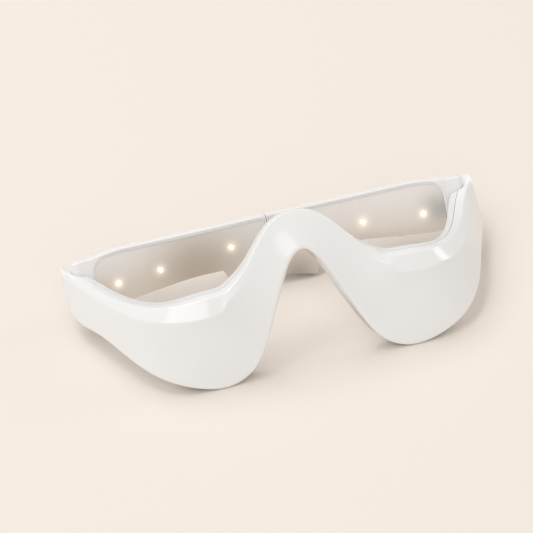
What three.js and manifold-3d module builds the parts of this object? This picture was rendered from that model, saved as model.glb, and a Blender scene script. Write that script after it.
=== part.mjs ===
// Eye contour massager: a glossy visor that lies under the eyes, with two folding arms.
// Everything is drawn as it is worn: +X to the viewer's right, -Y in front, +Z up, in millimetres.
// At the end the whole object is leaned back and set down on a table, the way it rests when folded.

import * as THREE from 'three';
import { mergeVertices } from 'three/addons/utils/BufferGeometryUtils.js';
import Module from 'manifold-3d';

const wasm = await Module();
wasm.setup();

// Driving dimensions: the resting pose
const RESTING_LEAN = THREE.MathUtils.degToRad(25.2);
const FLOOR_FACET_DEPTH = 0.35;
const FLOOR_BLOCK = [400, 400, 40];

// Driving dimensions: the visor, as pairs of rim points from the nose bridge out to the right end.
// Each row holds the lower rim, the upper rim, and [thickness, crease height] of the visor there.
const VISOR_ROWS = [
  [[0.0, 0.7, 21.1], [0.0, 5.2, 34.5], [5.2, 0.0]],
  [[4.8, 0.8, 18.3], [7.2, 4.7, 32.8], [5.2, 0.0]],
  [[8.8, 0.9, 11.8], [13.7, 3.6, 27.2], [5.3, 0.0]],
  [[11.9, 1.2, 4.8], [19.2, 2.7, 20.3], [5.6, 0.1]],
  [[15.1, 1.6, -2.4], [23.9, 1.9, 15.9], [6.0, 0.3]],
  [[18.9, 2.3, -10.2], [28.0, 1.1, 13.2], [6.3, 0.9]],
  [[24.5, 3.3, -17.4], [32.1, 0.5, 12.2], [6.4, 1.6]],
  [[33.2, 3.6, -20.7], [37.6, 0.7, 11.9], [6.4, 2.2]],
  [[42.4, 3.5, -19.3], [43.6, 2.3, 11.4], [6.4, 2.3]],
  [[50.3, 4.6, -16.1], [49.6, 6.1, 11.3], [6.3, 2.2]],
  [[57.1, 8.5, -11.8], [55.1, 12.2, 11.8], [6.0, 2.0]],
  [[62.8, 15.8, -6.0], [60.0, 20.8, 13.3], [5.8, 1.7]],
  [[67.0, 24.9, -0.3], [64.0, 30.3, 15.5], [5.8, 1.2]],
  [[70.1, 33.2, 3.1], [68.1, 40.0, 18.7], [6.0, 0.7]],
  [[72.8, 40.8, 5.5], [71.9, 47.6, 21.9], [5.6, 0.3]],
  [[74.7, 46.2, 10.0], [74.5, 51.4, 25.4], [4.6, 0.1]],
];
const STEPS_PER_ROW = 2;
const COVER_WALL = 1.6;
const LINER_WALL = 1.3;
const PARTING_GAP = 0.3;
const COVER_RIM_SHARE = 0.52;
const LOWER_EDGE_RADIUS = 1.7;
const UPPER_EDGE_RADIUS = 0.6;
const BEVEL_WIDTH_SHARE = 0.18;
const BEVEL_LEAST_WIDTH = 2.6;
const BEVEL_GROWS = [4.5, 6.5];
const BEVEL_ENDS = [12.5, 14.5];
const LEDGE_SLOPE = 0.25;
const UNDERCUT_SLOPE = 0.5;
const FLANK_FLARE = 0.4;
const FLANK_ROWS = [5, 7];
const LINER_LAST_ROW = 14.5;
const LINER_POCKET_LAST_ROW = 13.5;
const POCKET_LAST_ROW = 14.0;

// Driving dimensions: the folding arms, drawn for the right side in the folded state
const PIVOT = new THREE.Vector2(68.6, 50.2);
const ARM_SPLAY = THREE.MathUtils.degToRad(8);
const ARM_BEND_START = 61;
const ARM_BEND_END = 48;
const ARM_TIP_X = 0.15;
const ARM_TAPER_START = 62.4;
const ARM_TAPER_END = 65.4;
const ARM_FACE = -2.6;
const ARM_BACK = 3.4;
const ARM_TOP = 27.1;
const ARM_TOP_FALL = 1.5;
const ARM_BOTTOM = 11.1;
const ARM_HINGE_DROP = 3.3;
const ARM_HOOK_Z = 5.8;
const ARM_HOOK_FALL = 0.214;
const ARM_HOOK_SPAN = [14, 18];
const ARM_CORNER_RADIUS = 1.6;
const ARM_TIP_RADIUS = 0.3;
const ARM_WALL = 1.3;
const PANEL_RIM = 1.7;
const PANEL_RECESS = 0.5;
const PANEL_SEAT = 0.8;
const PANEL_THICKNESS = 1.0;
const PANEL_HINGE_X = 63.2;
const PANEL_TIP_X = 0.75;
const PANEL_CORNER_RADIUS = 4.5;
const PANEL_LOWER_LAP = 0.1;
const PANEL_LOWER_SEAT = 1.4;
const PANEL_TIP_RADIUS = 0.6;

// Driving dimensions: the hinge
const BARREL_RADIUS = 2.3;
const BARREL_CHAMFER = 0.8;
const KNUCKLE_RADIUS = 1.8;
const LOWER_KNUCKLE = [8.2, 11.1];
const UPPER_KNUCKLE = [15.5, 17.9];
const PIN_RADIUS = 0.6;
const PIN_CLEARANCE = 0.3;
const KNUCKLE_CLEARANCE = 0.4;
const SWING_CLEARANCE = 0.35;
const SWING_Z = [5, 30];
const OPEN_ARM_REACH = 8;
const BRACKET_THICKNESS = 1.2;
const BRACKET_WEB_Z = [8.4, 13.0];
const WEB_LENGTH = 11;
const WEB_ANGLE = THREE.MathUtils.degToRad(17.5);

// Driving dimensions: the lights and the electrics
const LIGHT_RADIUS = 1.1;
const LIGHT_HOLE_CLEARANCE = 0.25;
const LIGHTS = { left: [55.3, 39.8, 13.9], right: [55.3, 33.5, 11.5] };
const LIGHT_ROW_Z = 19.7;
const LIGHT_ROW_FALL = 0.084;
const STRIP_THICKNESS = 0.35;
const STRIP_HEIGHT = 3;
const BATTERY_SIZE = [30, 1.9, 9.5];
const BOARD_SIZE = [22, 0.7, 9.5];
const ELECTRICS_Z = 19.5;
const BATTERY_X = 28;
const BOARD_X = 34;
const BUTTON_SIZE = [9, 4.2];
const BUTTON_X = 38;
const BUTTON_TRAVEL = 0.8;
const BUTTON_PROUD = 0.9;
const BUTTON_CLEARANCE = 0.3;
const SWITCH_SIZE = [4, 0.5, 3];
const INDICATOR_X = 28;
const INDICATOR_RADIUS = 0.8;
const SOCKET_SIZE = [9, 3.2, 4.4];
const SOCKET_X = 50;
const SOCKET_N = 0.8;
const SOCKET_RECESS = 0.2;
const SOCKET_WALL = 0.35;
const SOCKET_TONGUE = [6, 0.7, 2.9];
const SOCKET_TONGUE_LIFT = 0.6;

// Driving dimensions: what lies inside the visor
const MOTOR_RADIUS = 4;
const MOTOR_THICKNESS = 2.4;
const MOTOR_ROW = 7.4;
const MOTOR_HEIGHT_SHARE = 0.26;
const FLEX_THICKNESS = 0.35;
const FLEX_LAST_ROW = 11.5;
const FLEX_SHARES = [0.46, 0.6];
const PLATE_ROWS = [5.6, 9.4];
const PLATE_SHARES = [0.38, 0.72];
const PLATE_THICKNESS = 0.9;
const PLATE_SINK = -0.3;
const ROW_PITCH = 8;
const SCREW_RADIUS = 0.7;
const SCREW_HEAD_RADIUS = 1.2;
const SCREW_HEAD_HEIGHT = 0.4;
const SCREW_REACH = 1.9;
const SCREW_Z = 10.7;
const SCREW_PLACES = [4.6, 8.8];
const BOSS_RADIUS = 1.6;
const BOSS_REACH = 6;
const FIT_GAP = 0.3;
const CUT_MARGIN = 1;

// Finishes
const finish = (color, roughness, metalness = 0) =>
  new THREE.MeshStandardMaterial({ color, roughness, metalness });
const glossWhite = finish(0xebe8e3, 0.15);
const linerGrey = finish(0xd8d6d2, 0.3);
const panelSatin = finish(0xcfc6bd, 0.4);
const warmLight = finish(0xfff3d6, 0.3);
const steel = finish(0xb9bcc0, 0.3, 1);
const boardGreen = finish(0x2f6b4a, 0.5);
const flexAmber = finish(0xb9772e, 0.45);
const cellSilver = finish(0x9aa0a6, 0.4);
const darkPlastic = finish(0x3a3a3c, 0.5);

// Solids and meshes

const solidFrom = (geometry) => {
  const bare = geometry.clone();
  bare.deleteAttribute('normal');
  bare.deleteAttribute('uv');
  const merged = mergeVertices(bare, 1e-4);
  return new wasm.Manifold(new wasm.Mesh({
    numProp: 3,
    vertProperties: new Float32Array(merged.attributes.position.array),
    triVerts: new Uint32Array(merged.index.array),
  }));
};

const geometryFrom = (solid) => {
  const mesh = solid.getMesh();
  const geometry = new THREE.BufferGeometry();
  geometry.setAttribute('position', new THREE.BufferAttribute(mesh.vertProperties, 3));
  geometry.setIndex(new THREE.BufferAttribute(mesh.triVerts, 1));
  return geometry;
};

const signedVolume = (points, faces) => faces.reduce((sum, [a, b, c]) => {
  const cross = new THREE.Vector3().crossVectors(points[b], points[c]);
  return sum + points[a].dot(cross);
}, 0);

// A closed body from a row of loops with the same number of points; the flat outline gives the end caps.
const loft = (loops, outline) => {
  const count = outline.length;
  const points = loops.flat();
  const faces = [];
  for (let row = 0; row < loops.length - 1; row += 1) {
    for (let k = 0; k < count; k += 1) {
      const next = (k + 1) % count;
      const a = row * count + k;
      const b = row * count + next;
      faces.push([a, b, b + count], [a, b + count, a + count]);
    }
  }
  const last = (loops.length - 1) * count;
  const cap = THREE.ShapeUtils.triangulateShape(outline.map(([x, y]) => new THREE.Vector2(x, y)), []);
  const turn = THREE.ShapeUtils.area(outline.map(([x, y]) => ({ x, y }))) > 0 ? 1 : -1;
  for (const [a, b, c] of cap) {
    faces.push(turn > 0 ? [a, c, b] : [a, b, c]);
    faces.push(turn > 0 ? [a + last, b + last, c + last] : [a + last, c + last, b + last]);
  }
  const outward = signedVolume(points, faces) > 0;
  const index = faces.flatMap(([a, b, c]) => (outward ? [a, b, c] : [a, c, b]));
  const geometry = new THREE.BufferGeometry();
  geometry.setAttribute('position', new THREE.Float32BufferAttribute(points.flatMap((p) => p.toArray()), 3));
  geometry.setIndex(index);
  return solidFrom(geometry);
};

const placed = (geometry, matrix) => solidFrom(geometry.applyMatrix4(matrix));

const boxAt = (size, center, turnZ = 0) => {
  const matrix = new THREE.Matrix4().makeRotationZ(turnZ).setPosition(...center);
  return placed(new THREE.BoxGeometry(...size), matrix);
};

const uprightCylinder = (radius, low, high, center, sides = 24) => {
  const geometry = new THREE.CylinderGeometry(radius, radius, high - low, sides).rotateX(Math.PI / 2);
  return placed(geometry, new THREE.Matrix4().makeTranslation(center.x, center.y, (low + high) / 2));
};

const mirrorX = (solid) => {
  const geometry = geometryFrom(solid);
  geometry.scale(-1, 1, 1);
  const index = geometry.index.array;
  for (let i = 0; i < index.length; i += 3) [index[i], index[i + 1]] = [index[i + 1], index[i]];
  return solidFrom(geometry);
};

const onSide = (solid, side) => (side === 'left' ? mirrorX(solid) : solid);

// The visor's band: a frame that runs from the left end to the right end

const mirrorPoint = ([x, y, z]) => [-x, y, z];
const mirroredRows = [
  ...VISOR_ROWS.slice(1).reverse().map(([low, high, form]) => [mirrorPoint(low), mirrorPoint(high), form]),
  ...VISOR_ROWS,
];
const lastRow = VISOR_ROWS.length - 1;
const smooth = THREE.MathUtils.smoothstep;
const curveThrough = (points) => new THREE.CatmullRomCurve3(points, false, 'catmullrom', 0.5);
const lowerRim = curveThrough(mirroredRows.map((row) => new THREE.Vector3(...row[0])));
const upperRim = curveThrough(mirroredRows.map((row) => new THREE.Vector3(...row[1])));
const formCurve = curveThrough(mirroredRows.map((row) => new THREE.Vector3(...row[2], 0)));

const bandFrame = (row) => {
  const t = THREE.MathUtils.clamp((row / lastRow + 1) / 2, 0, 1);
  const low = lowerRim.getPoint(t);
  const high = upperRim.getPoint(t);
  const form = formCurve.getPoint(t);
  const lowTangent = lowerRim.getTangent(t);
  const along = lowTangent.clone().add(upperRim.getTangent(t)).normalize();
  const up = high.clone().sub(low);
  const length = up.length();
  up.normalize();
  const inward = new THREE.Vector3().crossVectors(up, along).normalize();
  const levelness = lowTangent.x ** 2;
  const flank = (1 - levelness) * (1 - smooth(Math.abs(row), ...FLANK_ROWS));
  const lowerSlope = UNDERCUT_SLOPE * levelness - FLANK_FLARE * flank;
  return { row, low, up, inward, length, thickness: form.x, crease: form.y, lowerSlope };
};

const bandPoint = (frame, s, d) => frame.low.clone()
  .addScaledVector(frame.up, s)
  .addScaledVector(frame.inward, d);

const bandRows = (from, to, steps = STEPS_PER_ROW) => {
  const count = Math.max(2, Math.round((to - from) * steps));
  return Array.from({ length: count + 1 }, (_, i) => from + ((to - from) * i) / count);
};

const bandLoft = (from, to, profile, steps) => {
  const frames = bandRows(from, to, steps).map(bandFrame);
  const outlines = frames.map(profile);
  const loops = outlines.map((outline, i) => outline.map(([s, d]) => bandPoint(frames[i], s, d)));
  return loft(loops, outlines[0]);
};

const ledgeHeight = (frame, d) => frame.length + LEDGE_SLOPE * d;
const undercut = (frame, d) => frame.lowerSlope * d;
const coverRim = (frame) => Math.max(frame.thickness * COVER_RIM_SHARE, COVER_WALL + 0.4);

const bevelWidth = ({ row, length }) => {
  const out = Math.abs(row);
  const share = BEVEL_WIDTH_SHARE * smooth(out, ...BEVEL_GROWS) * (1 - smooth(out, ...BEVEL_ENDS));
  return Math.max(length * share, BEVEL_LEAST_WIDTH);
};

// Outer face of the cover, from the lower edge to the upper edge, sunk inward by a wall thickness
const outerFace = (frame, wall) => {
  const bevel = bevelWidth(frame);
  return [
    [frame.length * 0.3, wall - 0.5 * frame.crease],
    [frame.length * 0.58, wall - 0.85 * frame.crease],
    [frame.length - bevel, wall - frame.crease],
  ];
};

const coverEnvelope = (frame) => {
  const rim = coverRim(frame);
  const r = LOWER_EDGE_RADIUS;
  return [
    [undercut(frame, rim), rim],
    [undercut(frame, r), r],
    [0.3 * r, 0.3 * r],
    [r, 0],
    ...outerFace(frame, 0),
    [frame.length - UPPER_EDGE_RADIUS, 0],
    [frame.length, UPPER_EDGE_RADIUS],
    [ledgeHeight(frame, rim), rim],
  ];
};

const coverPocket = (frame) => {
  const rim = coverRim(frame);
  const lip = COVER_WALL + 0.6;
  return [
    [undercut(frame, rim) + COVER_WALL, rim + 1],
    [lip, COVER_WALL],
    ...outerFace(frame, COVER_WALL),
    [frame.length - lip, COVER_WALL],
    [ledgeHeight(frame, rim) - COVER_WALL, rim + 1],
  ];
};

const linerEnvelope = (frame) => {
  const start = coverRim(frame) + PARTING_GAP;
  const end = Math.max(frame.thickness, start + 0.8);
  const edge = 0.6;
  return [
    [undercut(frame, start), start],
    [undercut(frame, end) + 0.1, end - edge],
    [undercut(frame, end) + edge, end],
    [frame.length * 0.5, end + 0.25],
    [ledgeHeight(frame, end) - edge, end],
    [ledgeHeight(frame, end) - 0.1, end - edge],
    [ledgeHeight(frame, start), start],
  ];
};

const linerPocket = (frame) => {
  const start = coverRim(frame) + PARTING_GAP;
  const end = Math.max(frame.thickness, start + 0.8) - LINER_WALL;
  return [
    [undercut(frame, start) + LINER_WALL, start - 1],
    [undercut(frame, end) + LINER_WALL + 0.3, end],
    [frame.length * 0.35, end],
    [frame.length * 0.65, end],
    [ledgeHeight(frame, end) - LINER_WALL - 0.3, end],
    [ledgeHeight(frame, start) - LINER_WALL, start - 1],
  ];
};

// The arms: a path in plan, from the hinge pivot along the back to the middle

const bendRadius = (ARM_BEND_START - ARM_BEND_END) / Math.sin(ARM_SPLAY);
const bendStartY = PIVOT.y + (PIVOT.x - ARM_BEND_START) * Math.tan(ARM_SPLAY);
const straightY = bendStartY + bendRadius * (1 - Math.cos(ARM_SPLAY));

const armAngle = (x) => {
  if (x >= ARM_BEND_START) return ARM_SPLAY;
  if (x <= ARM_BEND_END) return 0;
  return Math.asin((x - ARM_BEND_END) / bendRadius);
};

const armLineY = (x) => {
  if (x >= ARM_BEND_START) return PIVOT.y + (PIVOT.x - x) * Math.tan(ARM_SPLAY);
  return straightY - bendRadius * (1 - Math.cos(armAngle(x)));
};

const armPoint = (x, n, z) => {
  const angle = armAngle(x);
  return new THREE.Vector3(x + n * Math.sin(angle), armLineY(x) + n * Math.cos(angle), z);
};

const armTop = (x) => ARM_TOP - ARM_TOP_FALL * smooth(x, 52, 68);
const armBottom = (x) => {
  const hook = ARM_HOOK_Z - ARM_HOOK_FALL * x;
  const arm = ARM_BOTTOM - ARM_HINGE_DROP * smooth(x, 24, 62);
  return THREE.MathUtils.lerp(hook, arm, smooth(x, ...ARM_HOOK_SPAN));
};

const cornerInset = (distance, radius) => {
  if (distance >= radius) return 0;
  return radius - Math.sqrt(radius ** 2 - (radius - Math.max(distance, 0)) ** 2);
};

// Stations along an arm, closer together at its two rounded ends
const cornerShares = [0.04, 0.15, 0.34, 0.62, 1];

const armStations = (from, to, hingeRadius, tipRadius, step) => {
  const start = from - hingeRadius;
  const end = to + tipRadius;
  const count = Math.round((start - end) / step);
  const inner = Array.from({ length: count - 1 }, (_, i) => start - ((start - end) * (i + 1)) / count);
  const hingeEnd = hingeRadius > 0 ? cornerShares.map((share) => from - share * hingeRadius) : [from];
  const tipEnd = cornerShares.map((share) => to + share * tipRadius).reverse();
  return [...hingeEnd, ...inner, ...tipEnd];
};

const armLoft = (stations, profile) => {
  const outlines = stations.map(profile);
  const loops = outlines.map((outline, i) => outline.map(([n, z]) => armPoint(stations[i], n, z)));
  return loft(loops, outlines[0]);
};

const armEnvelope = () => {
  const stations = armStations(PIVOT.x, ARM_TIP_X, 0, ARM_TIP_RADIUS, 2.6);
  return armLoft(stations, (x) => {
    const inset = cornerInset(x - ARM_TIP_X, ARM_TIP_RADIUS);
    const slim = smooth(x, ARM_TAPER_START, ARM_TAPER_END);
    const face = THREE.MathUtils.lerp(ARM_FACE, -BARREL_RADIUS, slim);
    const back = THREE.MathUtils.lerp(ARM_BACK, BARREL_RADIUS, slim);
    const round = THREE.MathUtils.lerp(2, BARREL_CHAMFER, slim);
    const high = armTop(x) - inset;
    const low = armBottom(x) + inset;
    return [
      [face + 0.5, low], [back - 0.7 * round, low], [back - 0.2 * round, low + 0.25 * round],
      [back, low + 0.8 * round], [back, high - 1.1 * round], [back - 0.3 * round, high - 0.4 * round],
      [back - round, high - 0.05], [face + BARREL_CHAMFER, high],
      [face, high - BARREL_CHAMFER], [face, low + 0.5],
    ];
  });
};

// The panel keeps a rim above it, but laps over the arm's lower edge, where its corners stay square
const panelOutline = (x, grow) => {
  const inset = Math.max(
    cornerInset(x - PANEL_TIP_X + grow, PANEL_TIP_RADIUS),
    cornerInset(PANEL_HINGE_X - x + grow, PANEL_CORNER_RADIUS),
  );
  return [armBottom(x) + PANEL_LOWER_LAP - grow, armTop(x) - PANEL_RIM - inset + grow];
};

const armSlab = (near, far, grow, lowerGrow = grow) => {
  const start = PANEL_HINGE_X + grow;
  const end = PANEL_TIP_X - grow;
  return armLoft(armStations(start, end, PANEL_CORNER_RADIUS, PANEL_TIP_RADIUS, 3), (x) => {
    const [low, high] = panelOutline(x, grow);
    const bottom = low + grow - lowerGrow;
    return [[near, bottom], [far, bottom], [far, high], [near, high]];
  });
};

const panelNear = ARM_FACE + PANEL_RECESS;
const panelFar = panelNear + PANEL_THICKNESS;
const stripNear = panelFar + FIT_GAP;
const stripFar = stripNear + STRIP_THICKNESS;
const cavityFar = ARM_BACK - ARM_WALL;

const armBarrel = () => {
  const low = armBottom(PIVOT.x);
  const high = armTop(PIVOT.x);
  const cone = new THREE.CylinderGeometry(BARREL_RADIUS - BARREL_CHAMFER, BARREL_RADIUS, BARREL_CHAMFER, 24);
  const place = new THREE.Matrix4().makeTranslation(PIVOT.x, PIVOT.y, high - BARREL_CHAMFER / 2);
  const top = placed(cone.rotateX(Math.PI / 2), place);
  return uprightCylinder(BARREL_RADIUS, low, high - BARREL_CHAMFER, PIVOT).add(top);
};

// What is cut away at the top outer corner of the hinge end to round it
const armCorner = () => {
  const radius = ARM_CORNER_RADIUS;
  const x = PIVOT.x + BARREL_RADIUS - radius;
  const z = armTop(PIVOT.x) - radius;
  const half = radius / 2 + CUT_MARGIN;
  const center = armPoint(x + half * Math.cos(ARM_SPLAY), 0, z + half);
  const block = boxAt([2 * half, 4 * radius, 2 * half], center.toArray(), -ARM_SPLAY);
  return block.subtract(armDisc(radius, -3 * radius, 3 * radius, x, z, 48));
};

// Space that the turning arm needs: round the pivot, and behind it when the arm is open
const armSwing = () => {
  const reach = BARREL_RADIUS + SWING_CLEARANCE;
  const height = SWING_Z[1] - SWING_Z[0];
  const middle = (SWING_Z[0] + SWING_Z[1]) / 2;
  const x = PIVOT.x + (Math.sin(ARM_SPLAY) * OPEN_ARM_REACH) / 2;
  const y = PIVOT.y + (Math.cos(ARM_SPLAY) * OPEN_ARM_REACH) / 2;
  const behind = boxAt([2 * reach, OPEN_ARM_REACH, height], [x, y, middle], -ARM_SPLAY);
  return uprightCylinder(reach, ...SWING_Z, PIVOT).add(behind);
};

// Space in front of the folded arm that the liner's end stays out of
const foldedArmRoom = () => {
  const face = PIVOT.y - BARREL_RADIUS - SWING_CLEARANCE;
  const height = SWING_Z[1] - SWING_Z[0];
  const middle = (SWING_Z[0] + SWING_Z[1]) / 2;
  const center = [PIVOT.x - OPEN_ARM_REACH / 2, face + OPEN_ARM_REACH / 2, middle];
  return boxAt([OPEN_ARM_REACH, OPEN_ARM_REACH, height], center);
};

const knuckleRoom = ([low, high]) => uprightCylinder(
  BARREL_RADIUS + SWING_CLEARANCE,
  low - KNUCKLE_CLEARANCE,
  high + KNUCKLE_CLEARANCE,
  PIVOT,
);

const pinRoom = () => uprightCylinder(
  PIN_RADIUS + PIN_CLEARANCE,
  LOWER_KNUCKLE[0] - 2,
  UPPER_KNUCKLE[1] + 0.6,
  PIVOT,
  16,
);

// A disc or pill that stands square to the arm's panel
const armDisc = (radius, near, far, x, z, sides = 16) => {
  const geometry = new THREE.CylinderGeometry(radius, radius, far - near, sides);
  const center = armPoint(x, (near + far) / 2, z);
  const matrix = new THREE.Matrix4().makeRotationZ(-armAngle(x)).setPosition(center);
  return placed(geometry, matrix);
};

const armBlock = (size, x, n, z) => boxAt(size, armPoint(x, n, z).toArray(), -armAngle(x));

const pillShape = (width, height, grow) => {
  const radius = height / 2 + grow;
  const reach = (width - height) / 2;
  const shape = new THREE.Shape();
  shape.absarc(reach, 0, radius, -Math.PI / 2, Math.PI / 2);
  shape.absarc(-reach, 0, radius, Math.PI / 2, Math.PI * 1.5);
  return shape;
};

const armPill = (grow, near, far) => {
  const shape = pillShape(...BUTTON_SIZE, grow);
  const depth = far - near;
  const geometry = new THREE.ExtrudeGeometry(shape, { depth, bevelEnabled: false, curveSegments: 8 });
  geometry.rotateX(-Math.PI / 2);
  const start = armPoint(BUTTON_X, near, ELECTRICS_Z);
  return placed(geometry, new THREE.Matrix4().makeRotationZ(-armAngle(BUTTON_X)).setPosition(start));
};

// The hinge bracket: a spine beside the pivot, two knuckles round the pin, and a web inside the visor's end

const webBack = new THREE.Vector2(PIVOT.x + 0.7, PIVOT.y - 3.8);
const webAcross = new THREE.Vector2(Math.cos(WEB_ANGLE), -Math.sin(WEB_ANGLE));
const webAlong = new THREE.Vector2(Math.sin(WEB_ANGLE), Math.cos(WEB_ANGLE));

const webPoint = (along, across, z) => {
  const point = webBack.clone().addScaledVector(webAlong, -along).addScaledVector(webAcross, across);
  return [point.x, point.y, z];
};

const bracketSolid = (grow) => {
  const spineDepth = 1.6;
  const spineHeight = UPPER_KNUCKLE[1] - LOWER_KNUCKLE[0];
  const spine = boxAt(
    [BRACKET_THICKNESS + 2 * grow, spineDepth + 2 * grow, spineHeight + 2 * grow],
    [webBack.x, webBack.y + 0.2, LOWER_KNUCKLE[0] + spineHeight / 2],
  );
  const webHeight = BRACKET_WEB_Z[1] - BRACKET_WEB_Z[0];
  const web = boxAt(
    [BRACKET_THICKNESS + 2 * grow, WEB_LENGTH + 2 * grow, webHeight + 2 * grow],
    webPoint(WEB_LENGTH / 2, 0, BRACKET_WEB_Z[0] + webHeight / 2),
    -WEB_ANGLE,
  );
  const knuckles = [LOWER_KNUCKLE, UPPER_KNUCKLE].map(([low, high]) => {
    const link = boxAt(
      [BRACKET_THICKNESS + 2 * grow, PIVOT.y - webBack.y + grow, high - low + 2 * grow],
      [webBack.x, (PIVOT.y + webBack.y) / 2, (low + high) / 2],
    );
    return uprightCylinder(KNUCKLE_RADIUS + grow, low - grow, high + grow, PIVOT).add(link);
  });
  return knuckles.reduce((sum, part) => sum.add(part), spine.add(web));
};

const acrossWeb = (radius, near, far, along, sides = 12) => {
  const geometry = new THREE.CylinderGeometry(radius, radius, far - near, sides).rotateZ(-Math.PI / 2);
  const center = webPoint(along, (near + far) / 2, SCREW_Z);
  return placed(geometry, new THREE.Matrix4().makeRotationZ(-WEB_ANGLE).setPosition(...center));
};

const screwHeadNear = -BRACKET_THICKNESS / 2 - FIT_GAP - SCREW_HEAD_HEIGHT;

const screwSolid = (along, grow = 0) => {
  const headFar = screwHeadNear + SCREW_HEAD_HEIGHT;
  const head = acrossWeb(SCREW_HEAD_RADIUS + grow, screwHeadNear - grow, headFar, along);
  const shank = acrossWeb(SCREW_RADIUS + grow, screwHeadNear, SCREW_REACH + grow, along);
  return head.add(shank);
};

// Clear space for the web and the screw heads, taken out of the liner as one straight notch
const webRoom = () => {
  const near = screwHeadNear - FIT_GAP;
  const width = BRACKET_THICKNESS / 2 + FIT_GAP - near;
  const height = BRACKET_WEB_Z[1] - BRACKET_WEB_Z[0] + 2 * FIT_GAP;
  const center = webPoint(WEB_LENGTH / 2, near + width / 2, (BRACKET_WEB_Z[0] + BRACKET_WEB_Z[1]) / 2);
  return boxAt([width, WEB_LENGTH + 2 * FIT_GAP, height], center, -WEB_ANGLE);
};

const hingeBracket = () => {
  const half = BRACKET_THICKNESS / 2 + CUT_MARGIN;
  const holes = SCREW_PLACES.map((along) => acrossWeb(SCREW_RADIUS + FIT_GAP, -half, half, along));
  return [...holes, pinRoom()].reduce((solid, hole) => solid.subtract(hole), bracketSolid(0));
};

const hingePin = () => uprightCylinder(PIN_RADIUS, LOWER_KNUCKLE[0] + 0.2, UPPER_KNUCKLE[1] - 0.1, PIVOT, 16);

// The visor's shells

const bothSides = (make) => [make(), mirrorX(make())];

const plateLoft = (grow, near, far) => {
  const [from, to] = PLATE_ROWS;
  const reach = grow / ROW_PITCH;
  return bandLoft(from - reach, to + reach, (frame) => {
    const middle = frame.length * (PLATE_SHARES[0] + PLATE_SHARES[1]) / 2;
    const half = frame.length * (PLATE_SHARES[1] - PLATE_SHARES[0]) / 2;
    const place = (2 * (frame.row - from + reach)) / (to - from + 2 * reach) - 1;
    const round = 0.35 + 0.65 * Math.sqrt(Math.max(0, 1 - place ** 4));
    const low = middle - half * round - grow;
    const high = middle + half * round + grow;
    const base = frame.thickness;
    return [[low, base + near], [low, base + far], [high, base + far], [high, base + near]];
  }, 3);
};

const frontCover = () => {
  const envelope = bandLoft(-lastRow, lastRow, coverEnvelope);
  const pocket = bandLoft(-POCKET_LAST_ROW, POCKET_LAST_ROW, coverPocket);
  const bosses = bothSides(() => SCREW_PLACES
    .map((along) => acrossWeb(BOSS_RADIUS, BRACKET_THICKNESS / 2 + FIT_GAP, BOSS_REACH, along))
    .reduce((sum, boss) => sum.add(boss)));
  const room = bothSides(() => SCREW_PLACES.map((along) => screwSolid(along, FIT_GAP))
    .reduce((sum, screw) => sum.add(screw), bracketSolid(FIT_GAP)));
  const solid = envelope.subtract(pocket).add(bosses[0].add(bosses[1]).intersect(envelope));
  return [...room, ...bothSides(armSwing)].reduce((body, cut) => body.subtract(cut), solid);
};

const faceLiner = () => {
  const envelope = bandLoft(-LINER_LAST_ROW, LINER_LAST_ROW, linerEnvelope);
  const pocket = bandLoft(-LINER_POCKET_LAST_ROW, LINER_POCKET_LAST_ROW, linerPocket);
  const rooms = [webRoom, armSwing, foldedArmRoom, () => bracketSolid(FIT_GAP)];
  const cuts = bothSides(() => rooms.reduce(
    (sum, room) => sum.add(room()),
    plateLoft(FIT_GAP, PLATE_SINK - FIT_GAP, CUT_MARGIN),
  ));
  return cuts.reduce((body, cut) => body.subtract(cut), envelope.subtract(pocket));
};

const frontFlex = () => bandLoft(-FLEX_LAST_ROW, FLEX_LAST_ROW, (frame) => {
  const far = frame.thickness - LINER_WALL - FIT_GAP;
  const near = far - FLEX_THICKNESS;
  const [low, high] = FLEX_SHARES.map((share) => share * frame.length);
  return [[low, near], [low, far], [high, far], [high, near]];
});

const motor = () => {
  const frame = bandFrame(MOTOR_ROW);
  const far = frame.thickness - LINER_WALL - FIT_GAP;
  const center = bandPoint(frame, frame.length * MOTOR_HEIGHT_SHARE, far - MOTOR_THICKNESS / 2);
  const turn = new THREE.Quaternion().setFromUnitVectors(new THREE.Vector3(0, 1, 0), frame.inward);
  const matrix = new THREE.Matrix4().compose(center, turn, new THREE.Vector3(1, 1, 1));
  return placed(new THREE.CylinderGeometry(MOTOR_RADIUS, MOTOR_RADIUS, MOTOR_THICKNESS, 24), matrix);
};

// The arms' pieces

const socketBlock = (grow, low, high) => {
  const [width, height] = SOCKET_SIZE;
  const shape = pillShape(width, height, grow);
  const depth = high - low;
  const geometry = new THREE.ExtrudeGeometry(shape, { depth, bevelEnabled: false, curveSegments: 6 });
  const start = armPoint(SOCKET_X, SOCKET_N, armBottom(SOCKET_X) + low);
  return placed(geometry, new THREE.Matrix4().makeRotationZ(-armAngle(SOCKET_X)).setPosition(start));
};

const chargingSocket = () => {
  const depth = SOCKET_SIZE[2];
  const bore = socketBlock(-SOCKET_WALL, -CUT_MARGIN, depth - 1);
  const shell = socketBlock(0, SOCKET_RECESS, depth).subtract(bore);
  const tongueZ = armBottom(SOCKET_X) + depth / 2 + SOCKET_TONGUE_LIFT;
  return shell.add(armBlock(SOCKET_TONGUE, SOCKET_X, SOCKET_N, tongueZ));
};

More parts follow.
